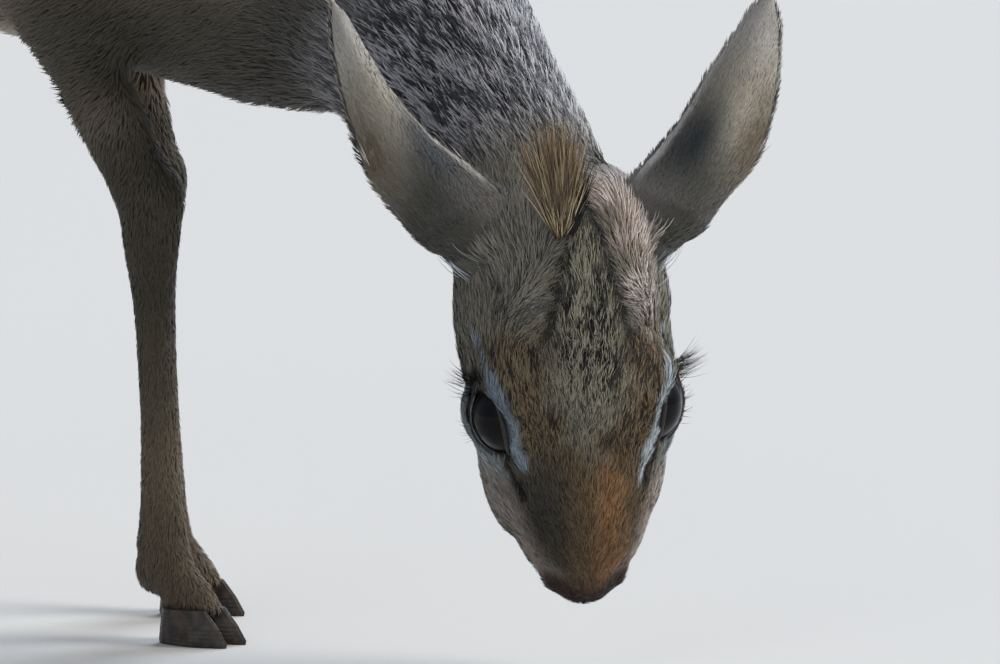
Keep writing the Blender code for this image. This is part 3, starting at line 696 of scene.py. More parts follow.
def paint_details(coat, places, on_head):
    """The streak and tear line beside each eye, the dark rims, the nose and the white feet of the ears."""
    x, y, z = places.T
    lids, slant = across_lids(places)
    below = on_head * ramp(-slant, 0, 3) * ramp(lids, 1.0, 1.3) * fade(lids, 1.7, 2.6) * ramp(x, -11, -5)
    coat.paint(below, (0.55, 0.60, 0.62), (0.34, 0.38, 0.40), 0.85)
    for word, sign in SIDES.items():
        near_side = on_head * (np.sign(y) == sign)
        patch = near_side * bell(x, 14, 6) * bell(z, -4, 8)
        coat.paint(patch, (0.68, 0.70, 0.69), (0.44, 0.45, 0.44), 0.9)
        streak = near_side * fade(from_line(places, STREAKS[word], STREAK_WIDTHS), -0.6, 1.1)
        # On the right side the streak is painted darker, as painted shade
        coat.paint(streak, STREAK_TONES_SHADED_RIGHT[word], (0.33, 0.37, 0.40))
        tear = near_side * fade(from_line(places, TEAR_LINES[word], TEAR_WIDTHS), 0, 1.2)
        coat.paint(tear, (0.07, 0.06, 0.06), (0.05, 0.045, 0.045))
        coat.grizzle = coat.grizzle * (1 - np.maximum(np.maximum(streak * 0.6, tear), patch * 0.8))
    coat.paint(on_head * fade(lids, 1.02, 1.22), (0.07, 0.065, 0.065), (0.045, 0.04, 0.04))
    coat.paint(on_head * fade(np.hypot(x - 55, z), 7, 12), (0.28, 0.21, 0.18), (0.14, 0.11, 0.10))
    from_foot = np.hypot(x + 52, np.hypot(np.abs(y) - 36, z - 2))
    coat.paint(on_head * fade(from_foot, 6, 11), (0.86, 0.88, 0.90), (0.66, 0.68, 0.71))


def markings(points, share):
    """Pale tone, dark tone and grizzle for points of the skin with these shares of the regions."""
    of = {name: share[:, number] for number, name in enumerate(REGIONS)}
    coat = Tones(len(points), (0.62, 0.57, 0.51), (0.20, 0.18, 0.17), 0.95)
    paint_body(coat, to_body(points), of)
    paint_face(coat, points, of["head"])
    paint_details(coat, to_head(points), of["head"])
    cloud = 1 + 0.10 * speckle(points, 0.022, 3)[:, None]
    return coat.pale * cloud, coat.dark * cloud, np.clip(coat.grizzle, 0, 1)


skin_pale, skin_dark, skin_grizzle = markings(points, shares)
print("mean pale tone:", skin_pale.mean(0).round(3), "mean grizzle:", round(float(skin_grizzle.mean()), 2))

# %% [markdown]
# ## Shared effects
# Two effects come back in several materials, so each is a node group. Hair bands turns a tuft's pale and
# dark tone into banded hairs: dark at the root, pale below the tip and dark at the tip, with some hairs dark
# all the way. It also splits the width of a tuft into a few strands, each with its own tone and bands and a
# painted shade along its edges as if it were round, which gives the look of single hairs where one mesh
# blade for each would be far too many, and it paints shade onto each tuft towards its root, where the coat
# above would shade it. Fine grain is the small unevenness of skin and horn, given as a height for a Bump
# node. A group hands out only colours and values; the surface shader stays in the material.

# %% Node groups
GROUP_SOCKETS = {"colour": "NodeSocketColor", "value": "NodeSocketFloat"}


class Nodes:
    """Small helpers to place and wire nodes in one tree."""

    def __init__(self, tree):
        self.tree = tree

    def add(self, kind, **settings):
        node = self.tree.nodes.new(kind)
        for name, value in settings.items():
            setattr(node, name, value)
        return node

    def join(self, source, target):
        self.tree.links.new(source, target)

    def feed(self, socket, value):
        if isinstance(value, bpy.types.NodeSocket):
            self.join(value, socket)
        else:
            socket.default_value = value

    def math(self, operation, *values):
        node = self.add("ShaderNodeMath", operation=operation)
        for socket, value in zip(node.inputs, values):
            self.feed(socket, value)
        return node.outputs[0]

    def ramp(self, value, start, end):
        node = self.add("ShaderNodeMapRange", interpolation_type="SMOOTHSTEP")
        self.feed(node.inputs["Value"], value)
        node.inputs["From Min"].default_value = start
        node.inputs["From Max"].default_value = end
        return node.outputs["Result"]

    def mix(self, factor, first, second):
        node = self.add("ShaderNodeMix", data_type="RGBA")
        self.feed(node.inputs[0], factor)
        self.feed(node.inputs[6], first)
        self.feed(node.inputs[7], second)
        return node.outputs[2]

    def noise(self, scale, detail=3, vector=None):
        node = self.add("ShaderNodeTexNoise")
        self.feed(node.inputs["Scale"], scale)
        node.inputs["Detail"].default_value = detail
        self.join(vector or self.place(), node.inputs["Vector"])
        return node.outputs["Fac"]

    def place(self):
        return self.add("ShaderNodeTexCoord").outputs["Object"]

    def attribute(self, name, output="Vector"):
        return self.add("ShaderNodeAttribute", attribute_name=name).outputs[output]


def new_group(name, inputs, outputs):
    tree = bpy.data.node_groups.new(name, "ShaderNodeTree")
    for label, kind in inputs.items():
        tree.interface.new_socket(label, in_out="INPUT", socket_type=GROUP_SOCKETS[kind])
    for label, kind in outputs.items():
        tree.interface.new_socket(label, in_out="OUTPUT", socket_type=GROUP_SOCKETS[kind])
    nodes = Nodes(tree)
    return nodes, nodes.add("NodeGroupInput").outputs, nodes.add("NodeGroupOutput").inputs


TUFT_CHANCE, STRAND_CHANCE, HASH_STEP = 0.78, 0.22, 977.0
BAND_SLIDE, GRIZZLE_DARKENS = 0.22, 0.27
ROOT_BAND, TIP_BAND, ALL_DARK = (0.10, 0.48), (0.88, 1.0), (0.72, 0.82)


def hair_bands():
    inputs = {"Pale": "colour", "Dark": "colour"}
    inputs.update(dict.fromkeys(("Along", "Across", "Random", "Grizzle"), "value"))
    kit, given, result = new_group("hair_bands", inputs, {"Colour": "colour"})
    spot = kit.add("ShaderNodeCombineXYZ")
    kit.join(kit.math("FLOOR", given["Across"]), spot.inputs[0])
    kit.join(kit.math("MULTIPLY", given["Random"], HASH_STEP), spot.inputs[1])
    strand = kit.add("ShaderNodeTexWhiteNoise", noise_dimensions="2D")
    kit.join(spot.outputs[0], strand.inputs["Vector"])
    own = strand.outputs["Value"]
    of_tuft = kit.math("MULTIPLY", given["Random"], TUFT_CHANCE)
    chance = kit.math("MULTIPLY_ADD", own, STRAND_CHANCE, of_tuft)
    along = kit.math("MULTIPLY_ADD", kit.math("SUBTRACT", own, 0.5), BAND_SLIDE, given["Along"])
    root = kit.math("SUBTRACT", 1.0, kit.ramp(along, *ROOT_BAND))
    tip = kit.ramp(along, *TIP_BAND)
    whole = kit.ramp(kit.math("MULTIPLY_ADD", given["Grizzle"], GRIZZLE_DARKENS, chance), *ALL_DARK)
    banded = kit.math("MAXIMUM", kit.math("MULTIPLY", root, 0.8), kit.math("MULTIPLY", tip, 0.35))
    mask = kit.math("MULTIPLY", kit.math("MAXIMUM", banded, whole), given["Grizzle"])
    # Painted shade: each tuft is darker towards its root, where the coat above shades it
    under = kit.math("MULTIPLY_ADD", kit.ramp(given["Along"], 0.0, 0.6), 0.35, 0.65)
    vary = kit.math("MULTIPLY_ADD", chance, 0.34, 0.84)
    # Painted shade: each strand is darker at its edges, as a round hair is in light
    inside = kit.math("SUBTRACT", kit.math("FRACT", given["Across"]), 0.5)
    strand_edge_shade = kit.math("MULTIPLY_ADD", kit.math("MULTIPLY", inside, inside), -1.3, 1.10)
    lit = kit.add("ShaderNodeVectorMath", operation="SCALE")
    kit.join(kit.mix(mask, given["Pale"], given["Dark"]), lit.inputs[0])
    kit.join(kit.math("MULTIPLY", under, kit.math("MULTIPLY", vary, strand_edge_shade)), lit.inputs["Scale"])
    kit.join(lit.outputs[0], result["Colour"])
    return kit.tree


def fine_grain():
    kit, given, result = new_group(
        "fine_grain", {"Coarse": "value", "Fine": "value"}, {"Height": "value", "Mask": "value"}
    )
    coarse, fine = (kit.noise(given[label], 4) for label in ("Coarse", "Fine"))
    kit.join(kit.math("MULTIPLY_ADD", coarse, 0.6, kit.math("MULTIPLY", fine, 0.4)), result["Height"])
    kit.join(kit.ramp(coarse, 0.35, 0.65), result["Mask"])
    return kit.tree


HAIR_BANDS, FINE_GRAIN = hair_bands(), fine_grain()
print("groups:", [group.name for group in bpy.data.node_groups])

# %% [markdown]
# ## Coat and skin materials
# The coat reads its tones from the mesh, where the markings are stored for each point, and the bands of the
# hair from how far along the tuft a point lies. Hair isn't shiny like plastic, so roughness stays high and a
# little sheen gives the soft bright edge that fur has against the light.

# %% Materials of coat and skin
def use_group(kit, tree, **values):
    node = kit.add("ShaderNodeGroup", node_tree=tree)
    for label, value in values.items():
        kit.feed(node.inputs[label], value)
    return node.outputs


def start_material(name, roughness, specular=0.5, sheen=0.0, coat=0.0):
    material = bpy.data.materials.new(name)
    material.use_nodes = True
    kit = Nodes(material.node_tree)
    shader = material.node_tree.nodes["Principled BSDF"]
    shader.inputs["Roughness"].default_value = roughness
    shader.inputs["Specular IOR Level"].default_value = specular
    shader.inputs["Sheen Weight"].default_value = sheen
    shader.inputs["Sheen Roughness"].default_value = 0.5
    shader.inputs["Coat Weight"].default_value = coat
    shader.inputs["Coat Roughness"].default_value = 0.04
    return material, kit, shader


def add_bump(kit, shader, height, strength, distance):
    bump = kit.add("ShaderNodeBump")
    bump.inputs["Strength"].default_value = strength
    bump.inputs["Distance"].default_value = distance
    kit.join(height, bump.inputs["Height"])
    kit.join(bump.outputs["Normal"], shader.inputs["Normal"])


def fur_material(name, roughness, sheen, close):
    """Hair of the tufts, or the close hair below them on the skin, where noise stands in for tufts."""
    material, kit, shader = start_material(name, roughness, specular=0.2, sheen=sheen)
    parts = kit.add("ShaderNodeSeparateXYZ")
    kit.join(kit.attribute("hair"), parts.inputs[0])
    along, random, grizzle = parts.outputs
    pale = kit.add("ShaderNodeAttribute", attribute_name="pale")
    across = pale.outputs["Alpha"]
    if close:
        along = kit.math("MULTIPLY_ADD", kit.noise(900), 0.5, 0.1)
        across, random = kit.noise(2300), kit.noise(1400)
        grain = use_group(kit, FINE_GRAIN, Coarse=700.0, Fine=2600.0)
        add_bump(kit, shader, grain["Height"], 0.5, 0.0006)
    tones = {"Pale": pale.outputs["Color"], "Dark": kit.attribute("dark", "Color")}
    bands = use_group(
        kit, HAIR_BANDS, **tones, Along=along, Across=across, Random=random, Grizzle=grizzle
    )
    kit.join(bands["Colour"], shader.inputs["Base Color"])
    return material


COAT = fur_material("coat_fur", 0.62, 0.12, False)
SKIN = fur_material("skin_under_fur", 0.75, 0.1, True)


def store(mesh, name, kind, values):
    """Keeps rows of values on the points of a mesh."""
    layer = mesh.attributes.new(name, kind, "POINT")
    key = "color" if kind == "FLOAT_COLOR" else "vector"
    layer.data.foreach_set(key, np.asarray(values, np.float32).ravel())


def store_tones(mesh, pale, dark, hair, across=1.0):
    """Keeps both tones on a mesh, with the place along the hair, its chance and its grizzle."""
    for name, colours, alpha in (("pale", pale, across), ("dark", dark, 1.0)):
        rows = np.column_stack((colours, np.broadcast_to(alpha, len(colours))))
        store(mesh, name, "FLOAT_COLOR", rows)
    store(mesh, "hair", "FLOAT_VECTOR", hair)


def flat_hair(grizzle):
    """Hair values of plain skin, which has a grizzle but no tufts."""
    return np.stack((0 * grizzle, 0 * grizzle, grizzle), 1)


def dress(piece, slot, *replaced):
    """Lets a piece ride on the body, in place of the solid nodes that it replaces."""
    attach(piece, "root")
    if replaced:
        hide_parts(*replaced)


store_tones(skin.data, skin_pale, skin_dark, flat_hair(skin_grizzle))
skin.data.materials.append(SKIN)
dress(skin, "coat", *flesh_names)
print("skin is dressed in", SKIN.name)

# %% [markdown]
# ## How a tuft grows
# A tuft is a thin blade of a few triangles: it starts just under the skin, rises, lies over along the coat
# and ends in a point. Real coats look soft because no two hairs agree, so length, width, direction and roll
# vary a little, and neighbours share a slow drift. Hair also gathers: a few tufts, or up to twelve where
# they are fine, make a long thin lock, lean to its middle and share its tone, which draws the fine streaks
# that one sees. All tufts of a piece are made at once with arrays, which takes seconds where a loop would
# take hours. Particle hair would be quicker to set up, but it isn't mesh.
#
# A flat blade would catch the light like a chip of glass. Its normals are therefore set one by one: they
# follow the skin below and turn from edge to edge, so that each blade shades like a round strand of soft fur.
#
# Each tuft also gets a small patch on an unwrap of the skin's shape, so that its colours can be kept in a
# picture later on.

# %% Tuft maker
PATCH = 0.003
# Places along a blade with so many joints, and its width there
BLADES = {
    2: ((0, 0.8), (0.55, 1.0), (1, 0)),
    3: ((0, 0.75), (0.4, 1.0), (0.75, 0.7), (1, 0)),
    6: ((0, 0.7), (0.2, 1.0), (0.4, 1.0), (0.6, 0.9), (0.8, 0.6), (0.92, 0.3), (1, 0)),
}
STRAND_WIDTH = 0.24
ROOT_DEPTH = 0.25
LOCKS_TRIED, LOCK_SLIMNESS = 20, 0.11
LOCK_PULL, LOCK_REACH = 0.55, 1.2
LOCK_TONE, OWN_TONE = 0.72, 0.28
TURN_SPREAD, ROLL_SPREAD, DRIFT, DRIFT_SIZE = 0.13, 0.30, 0.15, 0.012
EDGE_TURN, TIP_TURN = 1.3, 0.25


def locks(roots, along, across, draw, tufts_in_lock):
    """Number of the lock that each tuft joins, how many there are, and the way across to its middle."""
    heads = draw.choice(len(roots), max(len(roots) // tufts_in_lock, LOCKS_TRIED), replace=False)
    tree = KDTree(len(heads))
    for number, head in enumerate(heads):
        tree.insert(roots[head], number)
    tree.balance()
    near = np.array([[hit[1] for hit in tree.find_n(root, LOCKS_TRIED)] for root in roots.tolist()])
    offset = (roots[heads][near] - roots[:, None]) / MM
    ahead = np.einsum("ijk,ik->ij", offset, along)
    aside = np.einsum("ijk,ik->ij", offset, across)
    best = np.argmin((ahead * LOCK_SLIMNESS) ** 2 + aside**2, axis=1)
    rows = np.arange(len(roots))
    return near[rows, best], len(heads), aside[rows, best]


def tufts(name, slot, roots, up, along, look_of, shape, unwrap, blade, seed, loose=1.0, in_lock=12):
    """A piece of many tufts. shape holds length, width, height and bend for each, all in millimetres."""
    draw = np.random.default_rng(seed)
    count = len(roots)
    length, width, height, bend = (np.asarray(column, float) for column in shape)
    pale, dark, grizzle = look_of
    turn = (draw.normal(0, TURN_SPREAD, count) + DRIFT * speckle(roots, DRIFT_SIZE, seed)) * loose
    along = along * np.cos(turn)[:, None] + np.cross(up, along) * np.sin(turn)[:, None]
    across = np.cross(up, along)
    roll = draw.normal(0, ROLL_SPREAD, count)[:, None]
    wide = across * np.cos(roll) + up * np.sin(roll)
    length = length * draw.uniform(0.75, 1.2, count)
    width = width * draw.uniform(0.75, 1.25, count)
    height = height * draw.uniform(0.60, 1.08, count)
    lock, lock_count, aside = locks(roots, along, across, draw, in_lock)
    curl = draw.normal(0, 0.07, count) * length * loose + np.clip(aside, -LOCK_REACH, LOCK_REACH) * LOCK_PULL
    height = height * draw.uniform(0.78, 1.15, lock_count)[lock]
    random = LOCK_TONE * draw.uniform(0, 1, lock_count)[lock] + OWN_TONE * draw.uniform(0, 1, count)
    strands = np.maximum(np.round(width / STRAND_WIDTH), 1)
    corners, patches, hair, facing, sides = [], [], [], [], []
    for share, size in BLADES[blade]:
        rise = height * (1 - (1 - share) ** 2) - ROOT_DEPTH * (1 - share) - bend * (length * share) ** 2 / 2
        middle = along * (length * share)[:, None] + up * rise[:, None] + across * (curl * share**2)[:, None]
        for side in (-0.5, 0.5) if size else (0,):
            corners.append(roots + (middle + wide * (width * size * side)[:, None]) * MM)
            patches.append(unwrap + (side * PATCH, (share - 0.5) * PATCH))
            hair.append(np.stack((np.full(count, share), random, grizzle), 1))
            facing.append(unit(up + wide * side * EDGE_TURN + along * TIP_TURN))
            sides.append((side + 0.5) * strands)
    rows = len(corners)
    index = np.arange(count)[:, None] * rows
    pattern = [(2 * blade - 2, 2 * blade, 2 * blade - 1)]
    for k in range(0, 2 * blade - 2, 2):
        pattern += [(k, k + 3, k + 1), (k, k + 2, k + 3)]
    faces = np.concatenate([index + np.array(corner) for corner in pattern])
    mesh = array_mesh(name, np.stack(corners, 1).reshape(-1, 3), faces)
    tones = (np.repeat(tone, rows, axis=0) for tone in (pale, dark))
    store_tones(mesh, *tones, np.stack(hair, 1).reshape(-1, 3), np.stack(sides, 1).ravel())
    flat = np.stack(patches, 1).reshape(-1, 2)
    layer = mesh.uv_layers.new(name="OFBake")
    layer.data.foreach_set("uv", flat[faces.ravel()].astype(np.float32).ravel())
    mesh.shade_smooth()
    mesh.normals_split_custom_set_from_vertices(np.stack(facing, 1).reshape(-1, 3))
    dress(add_object(name, mesh, COAT), slot)
    print(name, count, "tufts,", len(faces), "triangles")

# %% [markdown]
# ## Where the tufts stand
# Roots are drawn over the skin's triangles, more to the square millimetre where the hair is fine. Over a
# rounded body a straight blade would lift off the far side, so each root also knows how fast the surface
# falls away along the lie, and its tuft bends down by that much.

# %% Roots on the skin
surface_normals = mesh_arrays(skin.data)[1]
up_field = unit(spread(surface_normals, 6))


def fall_field():
    """How fast the surface curves away along the lie of the coat, per millimetre."""
    total, weight = np.zeros(len(points)), np.full(len(points), 1e-6)
    for a, b in ((edges[:, 0], edges[:, 1]), (edges[:, 1], edges[:, 0])):
        step = points[b] - points[a]
        reach = np.maximum(np.linalg.norm(step, axis=1), 1e-7)
        aligned = (np.sum(step * lie[a], axis=1) / reach) ** 4
        curve = np.sum((up_field[b] - up_field[a]) * step, axis=1) / reach**2
        total += np.bincount(a, curve * aligned, len(points))
        weight += np.bincount(a, aligned, len(points))
    return np.clip(spread(total / weight, 12) * MM, -0.004, 0.05)


fall = fall_field()
first, second, third = (points[triangles[:, k]] for k in range(3))
triangle_sizes = np.linalg.norm(np.cross(second - first, third - first), axis=1) / 2 / MM**2

CELLS = {
    "torso": (0.01, 0.01, 0.49, 0.60),
    "head": (0.51, 0.01, 0.99, 0.33),
    "neck": (0.51, 0.35, 0.99, 0.60),
}
SMALL_CELL = 0.089
small = [name for name in flesh_names if name not in CELLS] + ["ear_left", "ear_right"]
for number, name in enumerate(small):
    CELLS[name] = (0.01 + SMALL_CELL * number, 0.63, 0.09 + SMALL_CELL * number, 0.99)


def in_cell(name, across, along):
    """A place on the unwrap from shares of the width and height of a piece's cell."""
    u0, v0, u1, v1 = CELLS[name]
    return np.stack((u0 + (u1 - u0) * across, v0 + (v1 - v0) * along), 1)


def unwrapped():
    """A place on the unwrap for each point of the skin: rolled out round the long axis of its piece."""
    labels = face_labels[found]
    out = np.zeros((len(points), 2))
    for number, name in enumerate(flesh_names):
        here = labels == number
        if not here.any():
            continue
        middle = points[here].mean(0)
        axes = np.linalg.svd(points[here][::7] - middle, full_matrices=False)[2]
        turned = (points[here] - middle) @ axes.T
        low, high = turned[:, 0].min(), turned[:, 0].max()
        angle = np.arctan2(turned[:, 2], turned[:, 1]) / math.tau + 0.5
        out[here] = in_cell(name, angle, (turned[:, 0] - low) / (high - low))
    return out


skin_patch = unwrapped()


def draw_roots(density, seed):
    """Triangles and inner places of roots, with this many to the square millimetre at each point."""
    draw = np.random.default_rng(seed)
    expected = triangle_sizes * density[triangles].mean(1)
    count = int(expected.sum())
    chosen = np.searchsorted(np.cumsum(expected), draw.uniform(0, expected.sum(), count))
    chosen = np.clip(chosen, 0, len(triangles) - 1)
    a, b = draw.uniform(0, 1, (2, count))
    over = a + b > 1
    a[over], b[over] = 1 - a[over], 1 - b[over]
    return triangles[chosen], np.stack((1 - a - b, a, b), 1)


def at_roots(values, corners, inner):
    values = values.reshape(len(values), -1)
    return np.einsum("ijk,ij->ik", values[corners], inner)


print("skin in square centimetres:", round(triangle_sizes.sum() / 100))

# %% [markdown]
# ## The coat
# Length and width of a tuft in millimetres, and number of tufts to the square millimetre, for each region.
# The torso and tail carry the longest hair, and the legs short hair that lies flat. On the head they change
# with the place: short and dense towards the nose and round the eyes, longer at the feet of the ears.

# %% Coat sizes by region
HAIR = {
    "torso": (12, 1.0, 0.64),
    "neck": (8.5, 0.60, 2.7),
    "head": (6.0, 0.31, 4.0),
    "tail": (14, 0.90, 2.0),
    "forearm": (4.6, 0.48, 2.5),
    "fore_cannon": (3.2, 0.36, 3.4),
    "shank": (7.0, 0.75, 1.35),
    "hind_cannon": (3.4, 0.42, 2.5),
}
hair_length, hair_width, hair_density = (
    shares @ np.array([HAIR[name][k] for name in REGIONS]) for k in range(3)
)
in_head, in_body = to_head(points), to_body(points)
snout = ramp(in_head[:, 0], 5, 45) * head_share
lids = fade(from_eye(in_head), 1.2, 5.5) * head_share
ear_foot = near_ear(in_head) * head_share
breast = ramp(in_body[:, 0], -80, -30) * share_of("torso")
hair_height = shares @ np.array([COAT_DEPTH[name] for name in REGIONS])
hair_length *= (1 - 0.50 * snout) * (1 - 0.60 * lids) * (1 + 0.9 * ear_foot) * (1 - 0.40 * breast)
hair_width *= (1 - 0.25 * snout) * (1 - 0.30 * lids) * (1 - 0.42 * breast)
hair_height *= (1 - 0.5 * snout) * (1 - 0.55 * lids) * (1 - 0.45 * breast) * (1 + 0.8 * ear_foot)
hair_density *= (1 + 0.6 * snout) * (1 + 0.9 * lids) * (1 + 1.4 * breast)

SOLE_HEIGHT, NOSTRIL_RADIUS = 11.3, 4.5
on_ball = from_eye(in_head) < 0.4
from_nostril = np.hypot(in_head[:, 0] - 49, np.hypot(np.abs(in_head[:, 1]) - 12, in_head[:, 2]))
hair_density[(on_ball | (from_nostril < NOSTRIL_RADIUS)) & (head_share > 0.5)] = 0
hair_density[points[:, 2] < SOLE_HEIGHT * MM] = 0
hair_density *= 1 - between_lids

# Each row: regions, joints of a blade, fewest pieces, tufts in a lock
COAT_PIECES = {
    "coat_head": (("head",), 2, 1, 12),
    "coat_neck": (("neck",), 3, 1, 10),
    "coat_torso": (("torso", "tail"), 2, 3, 3),
    "coat_forelegs": (("forearm", "fore_cannon"), 2, 1, 6),
    "coat_hindlegs": (("shank", "hind_cannon"), 2, 1, 4),
}
THIN_OUT = 1.0


def grow_coat(name, density, blade, seed, in_lock):
    corners, inner = draw_roots(density, seed)
    roots = at_roots(points, corners, inner)
    up = unit(at_roots(up_field, corners, inner))
    along = square_to(at_roots(lie, corners, inner), up)
    shape = [at_roots(field, corners, inner)[:, 0] for field in (hair_length, hair_width, hair_height, fall)]
    shape[1] = shape[1] / math.sqrt(THIN_OUT)
    look_of = markings(roots, at_roots(shares, corners, inner))
    slot = "leg" if "legs" in name else "coat"
    patch = skin_patch[corners[:, 0]]
    tufts(name, slot, roots, up, along, look_of, shape, patch, blade, seed, in_lock=in_lock)


MOST_TRIANGLES = 190000
for number, (name, (regions, blade, parts, in_lock)) in enumerate(COAT_PIECES.items()):
    density = hair_density * share_of(*regions)
    expected = float((triangle_sizes * density[triangles].mean(1)).sum()) * (2 * blade - 1)
    parts = max(parts, math.ceil(expected * THIN_OUT / MOST_TRIANGLES))
    for part in range(parts):
        label = name if parts == 1 else f"{name}_{part + 1}"
        grow_coat(label, density * (THIN_OUT / parts), blade, 100 * number + part, in_lock)

# %% [markdown]
# ## Ears
# An ear is a long leaf rolled into a cup: velvet outside, with a thin dark rim, and long pale hairs inside.
# It is made from a grid, rows from root to tip and columns from edge to edge, with an outer and an inner
# sheet that meet at the rim. The same rows tell where each mark lies, so colour follows the ear and not the
# room.

# %% Ear shells
EAR_ROOTS = {"right": Vector((-58, -29, 11)), "left": Vector((-57, 25, 12))}
EAR_TIPS = {"right": Vector((-127, -65, -6)), "left": Vector((-119, 63, -6))}
EAR_ROLLS = {"right": 0.31, "left": 0}
# Each row: place from root to tip, half width, depth of the cup, how far the cup is filled
EAR_PROFILE = (
    (-0.12, 11.5, 6, 1),
    (0, 13.5, 8, 1),
    (0.1, 13.8, 9.5, 0.75),
    (0.25, 12.8, 12, 0.1),
    (0.45, 12.4, 10.5, 0),
    (0.65, 10.4, 7.5, 0),
    (0.82, 7, 4.5, 0),
    (0.93, 4.2, 2, 0),
    (1, 0.7, 0.3, 0),
)
EAR_COLUMNS, EAR_STEPS = 28, 6
EAR_SHELL = 0.45


def catmull_rom(rows, steps):
    """Rows of numbers, smoothed by a curve that passes through each of them."""
    out = []
    last = len(rows) - 1
    for i in range(last):
        a, b, c, d = (np.array(rows[min(max(k, 0), last)], float) for k in (i - 1, i, i + 1, i + 2))
        for j in range(steps):
            t = j / steps
            out.append(b + 0.5 * t * (c - a + t * (2 * a - 5 * b + 4 * c - d + t * (3 * (b - c) + d - a))))
    out.append(np.array(rows[last], float))
    return out


def ear_sheet(word, row, t, inside):
    """A point of the ear in the head's frame, from a row of its profile and t, -1 to 1 from edge to edge."""
    side = SIDES[word]
    root, tip = EAR_ROOTS[word], EAR_TIPS[word]
    along = (tip - root).normalized()
    place, half_width, cup, fill = row
    roll = EAR_ROLLS[word] * min(max((place - 0.25) / 0.4, 0), 1)
    half_width, cup, fill = half_width * (1 - roll), cup * (1 + roll), max(fill, 0)
    back = Vector((-0.05, (0.35 - 0.65 * min(max(place / 0.4, 0), 1)) * side, 1))
    back = (back - along * back.dot(along)).normalized()
    across = along.cross(back)
    bow = math.sin(math.pi * max(place, 0))
    centre = root + along * (tip - root).length * place + (across * side * 4 - back * 3) * bow
    centre -= back * 9 * max(0.08 - place, 0) / 0.2
    dome = cup * (0.45 - t * t)
    if inside:
        dome += (-cup - 2.5 * (1 - t * t) + cup * t * t) * fill
    normal = (back * half_width + across * 2 * cup * t).normalized()
    thick = EAR_SHELL * (1 - 0.8 * t**6) * (-1 if inside else 0.6)
    return centre + across * half_width * t + back * dome + normal * thick


ear_rows = catmull_rom(EAR_PROFILE, EAR_STEPS)
ear_places = np.array([row[0] for row in ear_rows])


def ear_grid(word, inside):
    """Grid of room points of one sheet, rows from root to tip."""
    steps = np.linspace(-1, 1, EAR_COLUMNS + 1).tolist()
    return np.array([[HEAD @ (ear_sheet(word, row, t, inside) * MM) for t in steps] for row in ear_rows])


def grid_quads(rows, columns):
    """Numbers of the points of a grid, and the quads between its rows and columns."""
    number = np.arange(rows * columns).reshape(rows, columns)
    corners = (number[:-1, :-1], number[:-1, 1:], number[1:, 1:], number[1:, :-1])
    return number, np.stack(corners, -1).reshape(-1, 4)


def ear_tones(share, lateral, outside):
    """Pale tone, dark tone and grizzle of the velvet; lateral is 1 at the outer edge, -1 at the inner."""
    velvet = Tones(len(share), (0.66, 0.63, 0.57), (0.42, 0.39, 0.35), 0.35)
    if outside:
        low = fade(share + 0.10 * lateral, 0.22, 0.58)
        velvet.paint(low, (0.25, 0.25, 0.235), (0.12, 0.122, 0.118), 0.9, 0.95)
        smoke = bell(share, 0.36, 0.17) * bell(lateral, -0.40, 0.42)
        velvet.paint(smoke, (0.19, 0.21, 0.22), (0.12, 0.135, 0.145), 0.95)
        tan = bell(share, 0.46, 0.17) * ramp(lateral, 0.20, 0.75)
        velvet.paint(tan, (0.40, 0.345, 0.265), (0.24, 0.205, 0.155), 0.85)
        foot = fade(share, 0.04, 0.30) * ramp(-lateral, -0.2, 0.75)
        velvet.paint(foot, (0.42, 0.40, 0.38), (0.24, 0.23, 0.215), 0.9)
        # The ear's inner edge is pale hair, painted paler still as a painted highlight along it
        inner_edge_highlight = ramp(-lateral, 0.80, 0.94) * ramp(share, 0.08, 0.25) * fade(share, 0.80, 0.95)
        velvet.paint(inner_edge_highlight, (0.76, 0.74, 0.71), (0.55, 0.52, 0.49))
        velvet.paint(ramp(share, 0.62, 0.90), (0.73, 0.71, 0.68), (0.50, 0.48, 0.46), 0.9)
    else:
        velvet.paint(np.ones(len(share)), (0.86, 0.82, 0.78), (0.66, 0.60, 0.56), 0.8)
    rim = ramp(np.abs(lateral), 0.93, 0.985) * ramp(share, 0.36, 0.5) * ramp(lateral, -0.9, 0.2)
    velvet.paint(rim, (0.10, 0.09, 0.09), (0.06, 0.055, 0.055))
    return velvet.pale, velvet.dark, velvet.grizzle


ears = {}
for word, side in SIDES.items():
    outer, inner = ear_grid(word, False), ear_grid(word, True)
    rows, columns = outer.shape[:2]
    sheet = rows * columns
    number, quads = grid_quads(rows, columns)
    rim = np.concatenate((number[:, 0], number[-1, 1:], number[-2::-1, -1], number[0, -2:0:-1]))
    ahead = np.roll(rim, -1)
    joints = np.stack((ahead, rim, rim + sheet, ahead + sheet), 1)
    mesh = array_mesh(
        "ear_skin_" + word,
        np.concatenate((outer.reshape(-1, 3), inner.reshape(-1, 3))),
        np.concatenate((quads, quads[:, ::-1] + sheet, joints)),
    )
    fixer = bmesh.new()
    fixer.from_mesh(mesh)
    bmesh.ops.recalc_face_normals(fixer, faces=fixer.faces)
    fixer.to_mesh(mesh)
    fixer.free()
    across = np.tile(np.linspace(-1, 1, columns), rows) * side
    looks = [ear_tones(np.repeat(ear_places, columns), across, outside) for outside in (True, False)]
    pale, dark, grizzle = (np.concatenate([look[k] for look in looks]) for k in range(3))
    store_tones(mesh, pale, dark, flat_hair(grizzle))
    mesh.shade_smooth()
    dress(add_object("ear_skin_" + word, mesh, SKIN), "ear", "ear_" + word)
    ears[word] = (outer, inner)
print("ear points:", {word: grids[0].shape for word, grids in ears.items()})

